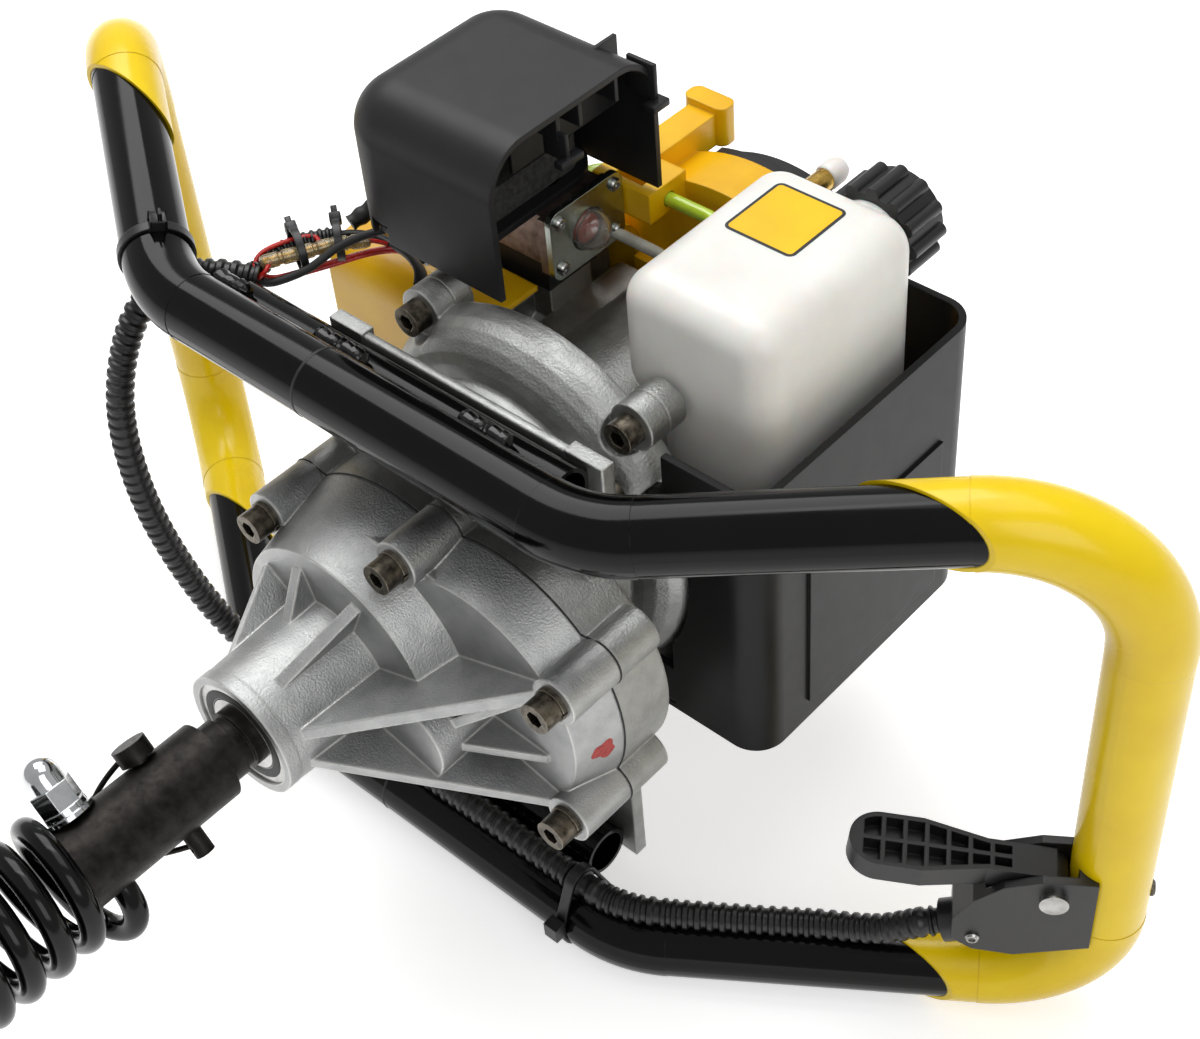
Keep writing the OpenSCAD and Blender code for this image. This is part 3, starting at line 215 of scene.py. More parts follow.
@dataclass(frozen=True)
class Finish:
    """A surface: two colours mottled at a real size, with grain, gloss and soft edges.

    Attributes:
        name: what it is and how it was made.
        colour: main colour.
        shade: second colour of the mottling.
        patch_mm: size of the mottling.
        grain_mm: size of the surface grain.
        grain: height of the grain in millimetres.
        roughness: mean roughness.
        spread: roughness change over the mottling.
        metallic: 1 for bare metal.
        coat: clear coat weight.
        edge_mm: rounding of sharp edges in the shading.
        glow: subsurface weight.
        clear: transmission weight.
        shine: strength of the mirror reflection; 0.5 is common plastic.
        edge_wear_and_highlight: colour painted along every edge, partly scuffed metal and partly a painted
            edge highlight; or none.
    """

    name: str
    colour: str
    shade: str
    patch_mm: float
    grain_mm: float
    grain: float
    roughness: float
    spread: float
    metallic: float = 0.0
    coat: float = 0.0
    edge_mm: float = 0.5
    glow: float = 0.0
    clear: float = 0.0
    shine: float = 0.5
    edge_wear_and_highlight: str = ""

    def make(self) -> bpy.types.Material:
        """Builds the material.

        Returns:
            The finished material.
        """
        g = Graph(self.name)
        shade_end, colour_start = MOTTLE
        tone = g.ramp(g.noise(self.patch_mm, 4.0),
                      [(shade_end, linear(self.shade)), (colour_start, linear(self.colour))])
        span = {"To Min": self.roughness - self.spread, "To Max": self.roughness + self.spread}
        rough = g.add("MapRange", {"Value": g.noise(self.patch_mm * 0.3)}, **span)
        soft = g.add("Bevel", Radius=self.edge_mm * MM, samples=4).outputs["Normal"]
        # Lighter edges: partly scuffed metal, partly a painted edge highlight.
        if self.edge_wear_and_highlight:
            tone = self.rubbed_and_highlit_edges(g, tone, soft)
        bump = g.add("Bump", {"Height": g.noise(self.grain_mm, 2.0), "Normal": soft}, Strength=1.0,
                     Distance=self.grain * MM)
        links = {"Base Color": tone, "Roughness": rough.outputs["Result"], "Normal": bump.outputs["Normal"]}
        values = {"Metallic": self.metallic, "Specular IOR Level": self.shine, "Coat Weight": self.coat,
                  "Coat Roughness": COAT_ROUGHNESS, "Subsurface Weight": self.glow,
                  "Subsurface Scale": GLOW_DEPTH_MM * MM, "Transmission Weight": self.clear}
        shader = g.add("BsdfPrincipled", links, **values)
        g.add("OutputMaterial", {"Surface": shader.outputs["BSDF"]})
        return g.material

    def rubbed_and_highlit_edges(self, g: Graph, tone: Socket, soft: Socket) -> Socket:
        """Lightens the colour along every edge, where the rounded normal leaves the flat one: partly scuffed
        metal, partly a painted edge highlight.

        Args:
            g: material under work.
            tone: colour so far.
            soft: normal rounded over the edges.

        Returns:
            The colour with its edges painted lighter.
        """
        flat = g.add("NewGeometry").outputs["Normal"]
        agree = g.add("VectorMath", {0: soft, 1: flat}, operation="DOT_PRODUCT")
        worn_and_highlit, whole = EDGE_WEAR_AND_HIGHLIGHT_STOPS
        edge = g.ramp(agree.outputs["Value"], [(worn_and_highlit, linear(self.edge_wear_and_highlight)), (whole, (0, 0, 0, 1))])
        lighter = g.add("Mix", {6: tone, 7: edge}, data_type="RGBA", blend_type="LIGHTEN", in_0=1.0)
        return lighter.outputs[2]


class Paint(Enum):
    """The finishes of the powerhead.

    The numbers run in Finish's order: patch_mm, grain_mm, grain, roughness, spread and metallic.
    """

    # Gloss paint sprayed on tube: deep black with a slight orange peel.
    BLACK = Finish("sprayed_black_gloss", "#070707", "#040404", 40, 1.6, 0.006, 0.12, 0.04, edge_mm=0.3,
                   shine=0.2)
    # Vinyl dip on the handles: thick, smooth, glossy yellow.
    DIP = Finish("dipped_yellow_vinyl", "#f0cf00", "#e3bd00", 60, 5.0, 0.03, 0.26, 0.05, coat=0.1,
                 edge_mm=0.7, shine=0.35)
    # Sand-blasted die casting: bright grey with fine grit, drawn coarser than life so that it shows; its
    # edges painted lighter, partly scuffed metal and partly a painted highlight.
    CASTING = Finish("blasted_aluminium_casting", "#b2b3b2", "#a2a3a3", 9, 0.9, 0.22, 0.46, 0.06, 1.0,
                     edge_mm=1.6, edge_wear_and_highlight="#e6e5e1")
    # Sand casting of the clutch bell and crankcase: coarser and duller, its grit drawn coarse as well; its
    # edges painted lighter, partly scuffed metal and partly a painted highlight.
    BELL = Finish("sand_aluminium_casting", "#a9aaa8", "#999a98", 8, 1.1, 0.24, 0.48, 0.06, 1.0,
                  edge_mm=1.6, edge_wear_and_highlight="#d8d8d4")
    # Ground bearing steel: bright, its reflections a little blurred.
    STEEL = Finish("ground_bearing_steel", "#b9b8b6", "#8f8e8c", 8, 0.3, 0.006, 0.24, 0.08, 1.0, edge_mm=0.3)
    # Screws in brown-black oxide: dark, with bright edges, partly scuffed oxide and partly a painted
    # highlight.
    SCREW = Finish("oxide_socket_screws", "#6f685c", "#37322c", 3, 0.4, 0.015, 0.36, 0.12, 1.0, edge_mm=0.5,
                   edge_wear_and_highlight="#a89f8e")
    # Hot-rolled, blackened coupling steel: patchy scale, dull, with lighter edges, partly scuffed and partly
    # a painted highlight.
    SCALE = Finish("scaled_blackened_steel", "#2b2826", "#141211", 6, 0.9, 0.05, 0.46, 0.16, 0.85,
                   edge_mm=0.6, edge_wear_and_highlight="#55504b")
    # Moulded black plastic with a fine leather grain: soft highlights.
    PLASTIC = Finish("grained_black_moulding", "#1d1d1f", "#18181a", 30, 0.7, 0.02, 0.46, 0.06, edge_mm=0.8,
                     shine=0.35)
    # Moulded guard round the tank: a deeper black, satin.
    GUARD = Finish("satin_black_moulding", "#0d0d0e", "#0a0a0b", 30, 0.7, 0.012, 0.4, 0.05, edge_mm=0.8,
                   shine=0.22)
    # Moulded nylon of the throttle and cap: darker and smoother.
    DENSE = Finish("smooth_black_moulding", "#19191a", "#131314", 20, 0.9, 0.015, 0.38, 0.06, edge_mm=0.8)
    # Moulded engine covers: a warmer yellow than the dip, half gloss.
    COVER = Finish("moulded_yellow_cover", "#eebc08", "#dfa400", 40, 1.2, 0.015, 0.3, 0.06, edge_mm=1.2)
    # Blow-moulded fuel tank: milky, light spreads under the skin.
    TANK = Finish("milky_blow_moulding", "#eceae5", "#dfdcd6", 45, 3.0, 0.03, 0.34, 0.06, edge_mm=2.5,
                  glow=0.35)
    # Moulded rubber: matt black.
    RUBBER = Finish("matt_black_rubber", "#141414", "#0d0d0d", 12, 0.5, 0.02, 0.55, 0.08, edge_mm=0.4)
    # Blown ribbed conduit: satin black.
    CONDUIT = Finish("satin_conduit", "#111112", "#0a0a0a", 15, 1.2, 0.01, 0.36, 0.08, edge_mm=0.2)
    # Pressed muffler in heat-proof paint: matt, with brown heat marks.
    MUFFLER = Finish("heat_painted_steel", "#3a3633", "#231f1c", 12, 0.8, 0.03, 0.6, 0.1, 0.3, edge_mm=0.8)
    # Die-cast zinc alloy of the carburettor, raw: pinkish grey and blotchy.
    CARB = Finish("raw_zinc_casting", "#8c7a72", "#5a4b45", 7, 0.6, 0.03, 0.42, 0.1, 0.9, edge_mm=0.6)
    # Zinc-plated pressing: bright, a little green.
    ZINC = Finish("zinc_plated_pressing", "#bfc6bf", "#a9b2ab", 6, 0.5, 0.012, 0.24, 0.08, 1.0, edge_mm=0.5)
    # Moulded primer disc: red-brown and wet-looking under its clear bulb.
    PRIMER = Finish("red_brown_primer", "#b8402a", "#8a2e1c", 6, 0.8, 0.01, 0.18, 0.05, coat=1.0,
                    edge_mm=0.3)
    # Open-cell filter foam: dark, with pores.
    FOAM = Finish("open_cell_foam", "#3b3b38", "#1d1d1b", 2.5, 1.5, 0.4, 0.85, 0.05, edge_mm=0.5)
    # Turned brass: warm and bright.
    BRASS = Finish("turned_brass", "#d0ab58", "#a07c34", 5, 0.3, 0.01, 0.26, 0.08, 1.0, edge_mm=0.3)
    # Extruded fuel hose, tinted green: glossy, light goes into its wall.
    FEED = Finish("tinted_green_hose", "#b6d23c", "#9dbb2a", 12, 1.0, 0.006, 0.16, 0.04, coat=0.5, glow=0.2)
    # Extruded return hose, clear gone grey: as glossy.
    RETURN = Finish("smoked_clear_hose", "#c9c8c0", "#aaa9a0", 12, 1.0, 0.006, 0.16, 0.04, coat=0.5,
                    glow=0.2)
    # Extruded wire insulation: red, half gloss.
    WIRE = Finish("red_insulation", "#c1221b", "#98140f", 10, 0.8, 0.006, 0.28, 0.05, edge_mm=0.2)
    # Clear moulded crimp sleeves: the plated barrel shows through.
    CRIMP = Finish("clear_crimp_sleeve", "#d6caa2", "#9c8650", 3, 1.2, 0.02, 0.12, 0.05, edge_mm=0.2,
                   clear=0.7)
    # Spring wire in thick gloss paint: black with long bright lines.
    SPRING = Finish("gloss_spring_paint", "#050505", "#030303", 20, 2.5, 0.015, 0.14, 0.05, edge_mm=0.2,
                    shine=0.28)
    # Chrome-plated acorn nuts: nearly a mirror.
    CHROME = Finish("chrome_plate", "#dfe1e2", "#c2c5c7", 10, 0.8, 0.004, 0.09, 0.03, 1.0, edge_mm=0.5)
    # Clear moulded primer bulb: see-through, with sharp highlights.
    CLEAR = Finish("clear_moulded_bulb", "#f4f2ee", "#ece8e0", 10, 1.5, 0.004, 0.06, 0.02, edge_mm=0.2,
                   clear=0.94)
    # Blank label film: even yellow with a soft gloss.
    LABEL = Finish("blank_label_film", "#f2c200", "#ebb800", 25, 1.0, 0.004, 0.3, 0.04, edge_mm=0.2)
    # Border of the blank label: satin dark grey.
    PLATE = Finish("blank_label_plate", "#26272a", "#1f2022", 20, 0.8, 0.006, 0.32, 0.05, edge_mm=0.2)
    # Dabbed inspection paint: uneven, dull red.
    MARK = Finish("red_inspection_paint", "#b5403a", "#8f2a28", 1.5, 0.6, 0.03, 0.5, 0.1, edge_mm=0.2)
    # Weld bead under gloss paint: black, a highlight on each ripple.
    WELD = Finish("painted_weld_bead", "#0a0a0a", "#050505", 5, 2.2, 0.03, 0.14, 0.05, edge_mm=0.3,
                  shine=0.45)

    def material(self) -> bpy.types.Material:
        """The finish's material, made once."""
        return bpy.data.materials.get(self.value.name) or self.value.make()


NODE_PAINT: dict[Paint, tuple[str, ...]] = {
    Paint.BLACK: ("frame_left", "frame_right", "brace_front", "brace_back"),
    Paint.DIP: ("coat_left", "coat_right"),
    Paint.CASTING: ("gearcase_cover", "flywheel"),
    Paint.BELL: ("gearcase_rear", "crankcase", "engine_cylinder", "brackets_front", "brackets_back"),
    Paint.STEEL: ("output_bearing_rings", "output_bearing_races", "case_bearings", "output_gear", "layshaft",
                  "layshaft_wheel", "clutch_drum", "clutch_shoes", "crankshaft", "spark_plug",
                  "throttle_pivot"),
    Paint.SCREW: ("bracket_screws", "gearcase_screws", "gearcase_washers", "bell_screws"),
    Paint.SCALE: ("output_shaft", "coupling_sleeve", "coupling_pin", "bit_adapter"),
    Paint.PLASTIC: ("filter_cover", "starter_cover", "filter_base", "insulator"),
    Paint.GUARD: ("tank_guard",),
    Paint.DENSE: ("throttle_housing", "throttle_lever", "fuel_cap", "starter_grip", "cable_tie"),
    Paint.COVER: ("cylinder_cover", "blower_housing"),
    Paint.TANK: ("fuel_tank",),
    Paint.RUBBER: ("plug_boot",),
    Paint.MUFFLER: ("muffler",),
    Paint.CARB: ("carburettor",),
    Paint.ZINC: ("primer_plate",),
    Paint.PRIMER: ("primer_bulb",),
    Paint.FOAM: ("filter_element",),
    Paint.BRASS: ("tank_vent",),
    Paint.CHROME: ("spring_nut_top", "spring_nut_low"),
    Paint.CONDUIT: ("conduit", "throttle_cable"),
    Paint.FEED: ("fuel_hose",),
    Paint.RETURN: ("return_hose",),
    Paint.WIRE: ("stop_wires",),
    Paint.SPRING: ("spring",),
}


def add_object(name: str, data: bpy.types.ID) -> bpy.types.Object:
    """Puts a new object into the scene.

    Args:
        name: object name.
        data: its mesh, lamp or camera.

    Returns:
        The new object.
    """
    obj = bpy.data.objects.new(name, data)
    bpy.context.scene.collection.objects.link(obj)
    return obj


def place(name: str, bm: Mesh, paint: Paint, slot: str, body: Body = Body.POWERHEAD) -> bpy.types.Object:
    """Turns a finished bmesh into a piece that rides on a body.

    Args:
        name: piece name.
        bm: geometry in row metres; freed here.
        paint: finish.
        slot: material slot of the record; not used.
        body: CAD body that carries it.

    Returns:
        The new object.
    """
    bmesh.ops.recalc_face_normals(bm, faces=bm.faces)
    mesh = bpy.data.meshes.new(name)
    bm.to_mesh(mesh)
    bm.free()
    mesh.shade_smooth()
    mesh.set_sharp_from_angle(angle=SHARP)
    obj = add_object(name, mesh)
    mesh.materials.append(paint.material())
    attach(obj, body.value)
    return obj


def smooth_path(points: Line, step: float) -> list[Vector]:
    """Runs a Catmull-Rom curve through points.

    Args:
        points: points to pass through, in millimetres.
        step: length of a sample in millimetres.

    Returns:
        Points along the curve.
    """
    p = [Vector(q) for q in points]
    out: list[Vector] = []
    for i in range(len(p) - 1):
        a, b, c, d = p[max(i - 1, 0)], p[i], p[i + 1], p[min(i + 2, len(p) - 1)]
        n = max(2, round((c - b).length / step))
        for k in range(n):
            t = k / n
            out.append(0.5 * (2 * b + (c - a) * t + (2 * a - 5 * b + 4 * c - d) * t ** 2
                              + (3 * b - a - 3 * c + d) * t ** 3))
    return out + [p[-1]]


def rounded_path(points: Line, radii: Sequence[float], step: float) -> list[Vector]:
    """Follows straight runs with round bends, as a bent hose does.

    Args:
        points: sharp corners in millimetres.
        radii: bend radius at each corner; the ends are 0.
        step: sample length on the bends.

    Returns:
        Points along the path.
    """
    p = [Vector(q) for q in points]
    out = [p[0]]
    for i in range(1, len(p) - 1):
        a, b = (p[i] - p[i - 1]).normalized(), (p[i + 1] - p[i]).normalized()
        theta = a.angle(b)
        cut = radii[i] * math.tan(theta / 2)
        centre = p[i] + (b - a).normalized() * radii[i] / math.cos(theta / 2)
        spoke = p[i] - a * cut - centre
        axis = a.cross(b).normalized()
        n = max(4, round(radii[i] * theta / step))
        out += [centre + Matrix.Rotation(theta * k / n, 3, axis) @ spoke for k in range(n + 1)]
    return out + [p[-1]]


def ring(bm: Mesh, centre: Vector, r: float, u: Vector, v: Vector, sides: int, squash: float = 1.0) -> Ring:
    """Adds the corners of one round section.

    Args:
        bm: mesh to add to.
        centre: middle in row metres.
        r: radius in metres.
        u: unit direction of the width.
        v: unit direction of the height.
        sides: number of corners.
        squash: height over width.

    Returns:
        The corners in order.
    """
    turns = (2 * math.pi * k / sides for k in range(sides))
    return [bm.verts.new(centre + r * (math.cos(a) * u + squash * math.sin(a) * v)) for a in turns]


def bridge(bm: Mesh, rings: Sequence[Ring], capped: bool = True) -> None:
    """Joins each ring of corners to the next.

    Args:
        bm: mesh to add to.
        rings: rings with the same number of corners.
        capped: whether the first and last ring are filled.
    """
    for low, high in zip(rings, rings[1:]):
        n = len(low)
        for k in range(n):
            bm.faces.new((low[k], low[(k + 1) % n], high[(k + 1) % n], high[k]))
    if capped:
        bm.faces.new(list(reversed(rings[0])))
        bm.faces.new(rings[-1])


def sweep(bm: Mesh, line: Line, radius: Radius, sides: int, squash: float = 1.0) -> None:
    """Adds a round bar along a line.

    Args:
        bm: mesh to add to.
        line: centreline in machine millimetres.
        radius: radius in millimetres, or a function that gives it for each index.
        sides: corners of the section.
        squash: height of the section over its width.
    """
    path = [MACHINE.at(p) for p in line]
    tangent = (path[1] - path[0]).normalized()
    side = tangent.orthogonal().normalized()
    rings = []
    last = len(path) - 1
    for i, point in enumerate(path):
        new = (path[min(i + 1, last)] - path[max(i - 1, 0)]).normalized()
        side = (tangent.rotation_difference(new) @ side).normalized()
        tangent = new
        other = tangent.cross(side).normalized()
        r = radius(i) if callable(radius) else radius
        rings.append(ring(bm, point, r * MM, side, other, sides, squash))
    bridge(bm, rings)


def swept(name: str, lines: Sequence[Line], radius: Radius, sides: int, paint: Paint, slot: str,
          body: Body = Body.POWERHEAD, squash: float = 1.0) -> bpy.types.Object:
    """Makes a piece from round bars of one size.

    Args:
        name: piece name.
        lines: centrelines in machine millimetres.
        radius: radius in millimetres, or a function that gives it for each index.
        sides: corners of the section.
        paint: finish.
        slot: material slot of the record.
        body: CAD body that carries it.
        squash: height of the section over its width.

    Returns:
        The new object.
    """
    bm = bmesh.new()
    for line in lines:
        sweep(bm, line, radius, sides, squash)
    return place(name, bm, paint, slot, body)


def lathe(bm: Mesh, base: Vector, axis: Vector, profile: Sequence[Pair], sides: int) -> None:
    """Adds a turned shape.

    Args:
        bm: mesh to add to.
        base: point on the axis, in row metres.
        axis: direction of the axis.
        profile: radius and height pairs in millimetres; a closed loop where it ends as it starts.
        sides: steps round the axis.
    """
    axis = axis.normalized()
    u = axis.orthogonal().normalized()
    v = axis.cross(u)
    closed = profile[0] == profile[-1]
    steps = profile[:-1] if closed else profile
    rings = [ring(bm, base + axis * h * MM, r * MM, u, v, sides) for r, h in steps]
    bridge(bm, rings + rings[:1] if closed else rings, capped=not closed)


def block(bm: Mesh, centre: Vector, axes: Sequence[Vector], sizes: Point, bevel: float) -> None:
    """Adds a box with bevelled edges.

    Args:
        bm: mesh to add to.
        centre: middle in row metres.
        axes: three unit directions.
        sizes: full sizes in millimetres.
        bevel: width of the bevel in millimetres.
    """
    made = bmesh.ops.create_cube(bm, size=1.0)["verts"]
    for vert in made:
        offset = vert.co.copy()
        vert.co = centre + sum((axes[k] * offset[k] * sizes[k] * MM for k in range(3)), Vector())
    edges = list(dict.fromkeys(e for vert in made for e in vert.link_edges))
    bmesh.ops.bevel(bm, geom=edges, offset=bevel * MM, segments=2, affect="EDGES", profile=0.5)


def rounded_corners(low: Pair, high: Pair, r: float, n: int = 6) -> list[Pair]:
    """Outline of a rounded rectangle.

    Args:
        low: lower corner.
        high: upper corner.
        r: corner radius.
        n: steps in a corner.

    Returns:
        Outline points.
    """
    out = []
    for cx, cy, start in ((high[0] - r, high[1] - r, 0), (low[0] + r, high[1] - r, 90),
                          (low[0] + r, low[1] + r, 180), (high[0] - r, low[1] + r, 270)):
        for k in range(n + 1):
            a = math.radians(start + 90 * k / n)
            out.append((cx + r * math.cos(a), cy + r * math.sin(a)))
    return out


def screw_head(bm: Mesh, seat: Vector, way: Vector, r: float, h: float) -> None:
    """Adds a pan head with a recess, radius r and height h in millimetres, on a seat in row metres."""
    profile = [(0.05, h * 0.45), (r * 0.42, h * 0.45), (r * 0.5, h), (r * 0.78, h * 0.92), (r, h * 0.5),
               (r, -0.2)]
    lathe(bm, seat, way, profile, 24)


@dataclass
class Throttle:
    """The throttle's own axes on the right crossbar, its conduit stub and its screws."""

    lean: float = 34.0
    bend_x: float = 110.0
    reach: float = 189.0
    pivot_y: float = 55.0
    stub: Point = (44.0, -26.0, -7.0)
    stub_length: float = 18.0
    stub_angle: float = -18.0
    head: float = 1.8

    def at(self, p: Sequence[float]) -> Vector:
        """Machine point of a point in the throttle's own axes.

        Args:
            p: inward from the crossbar, to the front and up, in millimetres.

        Returns:
            The point in machine millimetres.
        """
        a = math.radians(self.lean)
        x, z = self.bend_x + self.reach * math.cos(a), self.reach * math.sin(a)
        return Vector((x - p[0] * math.cos(a) - p[2] * math.sin(a), self.pivot_y - p[1],
                       z - p[0] * math.sin(a) + p[2] * math.cos(a)))

    def way(self, v: Sequence[float]) -> Vector:
        """Row direction of a direction in the throttle's axes."""
        return MACHINE.way(self.at(v) - self.at((0, 0, 0)))

    def mouth(self) -> tuple[Vector, Vector]:
        """Where the conduit leaves the housing.

        Returns:
            The mouth and the way out, in machine millimetres.
        """
        t = math.radians(self.stub_angle)
        x, y, z = self.stub
        end = self.at((x + self.stub_length * math.cos(t), y + self.stub_length * math.sin(t), z))
        return end, (end - self.at(self.stub)).normalized()

    def build(self) -> None:
        """Makes the screws."""
        for name, seat, way, r, paint, slot in (
                ("throttle_case_screw", (50, -28, -16), (0, 0, -1), 2.8, Paint.STEEL, "bright_steel"),
                ("throttle_mount_screw", (-15.3, -10, 0), (-1, 0, 0), 3.4, Paint.SCREW, "blackened_steel")):
            bm = bmesh.new()
            screw_head(bm, MACHINE.at(self.at(seat)), self.way(way), r, self.head)
            place(name, bm, paint, slot)


@dataclass
class Cords:
    """Conduit, hoses, cable and wires: each lies on its CAD solid's own route and stands for it."""

    back_tube: float = 127.4
    beside_tube: float = 20.0
    tube_gap: float = 0.3
    ribs: tuple[float, ...] = (6.0, 6.0, 6.0, 5.0, 4.9, 5.0)
    rib_step: float = 0.8
    carb_y: float = -104.0
    carb_z: float = 132.0
    bend_step: float = 1.2
    lead_step: float = 2.0
    half_pair: float = 0.95
    cable: Route = ((-106.2, -92.6, 34.9), (-101.2, -92, 38.2), (-96.2, -91.8, 41.4), (-88, -95, 53),
                    (-82, -101, 67), (-72, -105, 80), (-62, -105, 92), (-59, -104, 104), (-66, -103, 114),
                    (-71, -104, 122), (-67, -104, 128), (-62, -104, 128), (-54, -104, 128))
    wire: Route = ((-107.9, -92.6, 37.5), (-102.9, -92, 40.7), (-97.9, -91.2, 44), (-94, -90, 54),
                   (-88, -90, 66), (-80, -91, 79), (-70, -93, 85.5), (-58, -95, 83), (-48, -96.5, 77.5),
                   (-41, -97, 71))

    def conduit(self) -> None:
        """Ribbed conduit with a rib every 4.8 mm, from the throttle to the engine."""
        end, way = Throttle().mouth()
        back = self.back_tube - self.beside_tube - self.tube_gap
        route = [end - 6 * way, end + 3 * way, end + 9 * way, (198, 99, 53.5), (176, back - 2.4, 43.5),
                 (150, back - 1, 26.5), (124, back - 0.4, 9.6), (108, back, 2.2), (90, back, 0),
                 (30, back, 0), (-40, back, 0), (-90, back - 2, -2), (-118, 78, -10), (-134, 40, -16),
                 (-142, 0, -18), (-144, -40, -14), (-143, -72, 0), (-135, -90, 17), (-118, -94, 29),
                 (-102, -92, 39.4)]
        path = smooth_path(route, self.rib_step)
        last = len(path) - 1

        def radius(i: int) -> float:
            """Radius over the ribs; both ends are plain."""
            return self.ribs[0] if i < 3 or i > last - 3 else self.ribs[i % len(self.ribs)]

        piece = swept("conduit_ribbed", [path], radius, 16, Paint.CONDUIT, "conduit_plastic")
        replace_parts(piece, "conduit")

    def build(self) -> None:
        """Makes every cord."""
        self.conduit()
        y, z = self.carb_y, self.carb_z
        feed = [(-32, y, z + 22), (-32, y, z + 34), (34, y, z + 34), (34, y, z + 16), (52, y, z + 16)]
        back = [(-7, y + 11, z + 15), (18, y + 11, z + 15), (38, y + 4, z), (52, y + 4, z)]
        feed = [rounded_path(feed, (0, 8, 8, 8, 0), self.bend_step)]
        back = [rounded_path(back, (0, 14, 10, 0), self.bend_step)]
        cable = [smooth_path(self.cable, self.lead_step)]
        pair = [[p + Vector((0, side, 0)) for p in smooth_path(self.wire, self.lead_step)]
                for side in (-self.half_pair, self.half_pair)]
        for name, lines, r, sides, paint, slot, node in (
                ("fuel_hose_bent", feed, 3.0, 16, Paint.FEED, "fuel_hose_green", "fuel_hose"),
                ("return_hose_bent", back, 2.5, 16, Paint.RETURN, "return_hose_grey", "return_hose"),
                ("throttle_cable_sheath", cable, 1.7, 16, Paint.RUBBER, "black_rubber", "throttle_cable"),
                ("stop_wire_pair", pair, 0.85, 10, Paint.WIRE, "wire_red", "stop_wires")):
            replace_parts(swept(name, lines, r, sides, paint, slot), node)


@dataclass
class OutputLine:
    """Shock spring, wire clip and bearing seal on the output axis."""

    cross: float = 50.0
    hook_z: float = -152.0
    pin_z: float = -120.0
    seal_z: float = -82.0
    drop: float = 12.6
    pitch: float = 13.2
    turns: int = 6
    start: float = 100.0
    coil: float = 22.5
    wire: float = 9.5
    hook: Route = ((-35, 0, 0), (-20, 0, 0), (0, 0, 0), (19, 0, 0), (28, 3, -1.4), (32, 11, -4),
                   (29, 20, -7.2), (19.5, 25, -10), (8, 25, -11.6))
    hook_step: float = 2.5
    coil_step: float = 6.0
    clip_steps: int = 40
    clip_r: float = 18.4
    clip_flare: float = 3.2
    clip_bow: float = 26.0

    def line(self) -> list[Vector]:
        """Centreline of the spring in machine millimetres.

        Returns:
            Points from the upper hook to the lower one.
        """
        height = self.pitch * (self.turns - self.start / 180)
        low = self.hook_z - height - 2 * self.drop
        swing = 360 * self.turns - 2 * self.start
        n = int(swing / self.coil_step)
        top = [(x, y, self.hook_z + z) for x, y, z in self.hook]
        bottom = [(x, -y, low - z) for x, y, z in reversed(self.hook)]
        coils = []
        for k in range(n + 1):
            a = math.radians(self.start + swing * k / n)
            coils.append(Vector((self.coil * math.cos(a), self.coil * math.sin(a),
                                 self.hook_z - self.drop - height * k / n)))
        path = smooth_path(top, self.hook_step) + coils + smooth_path(bottom, self.hook_step)
        turn = Matrix.Rotation(math.radians(self.cross), 3, "Z")
        return [turn @ p for p in path]

    def spring(self) -> None:
        """The painted wire with its two hooks."""
        spring = swept("shock_spring", [self.line()], self.wire / 2, 20, Paint.SPRING, "spring_paint",
                       Body.OUTPUT)
        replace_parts(spring, "spring")
        top = MACHINE.at((0, 0, self.hook_z))
        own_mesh(spring)

    def seal(self) -> None:
        """Rubber seal in the nose bearing."""
        profile = [(16.6, -0.2), (16.6, 0.1), (17.2, 0.3), (20.0, 0.3), (20.5, 0.1), (20.5, -0.2),
                   (16.6, -0.2)]
        bm = bmesh.new()
        lathe(bm, MACHINE.at((0, 0, self.seal_z)), MACHINE.way((0, 0, -1)), profile, 64)
        place("nose_bearing_seal", bm, Paint.RUBBER, "black_rubber")

    def clip(self) -> None:
        """Wire clip from the pin's head round the sleeve to its tail."""
        path = []
        for k in range(self.clip_steps + 1):
            t = k / self.clip_steps
            a = math.radians(self.cross + 180 - 180 * t)
            r = self.clip_r + self.clip_flare * abs(1 - 2 * t) ** 3
            z = self.pin_z - self.clip_bow * math.sin(math.pi * t)
            path.append((r * math.cos(a), r * math.sin(a), z))
        swept("pin_clip", [path], 1.1, 12, Paint.SCALE, "blackened_steel", Body.OUTPUT)

    def build(self) -> None:
        """Makes the output pieces."""
        self.spring()
        self.seal()
        self.clip()


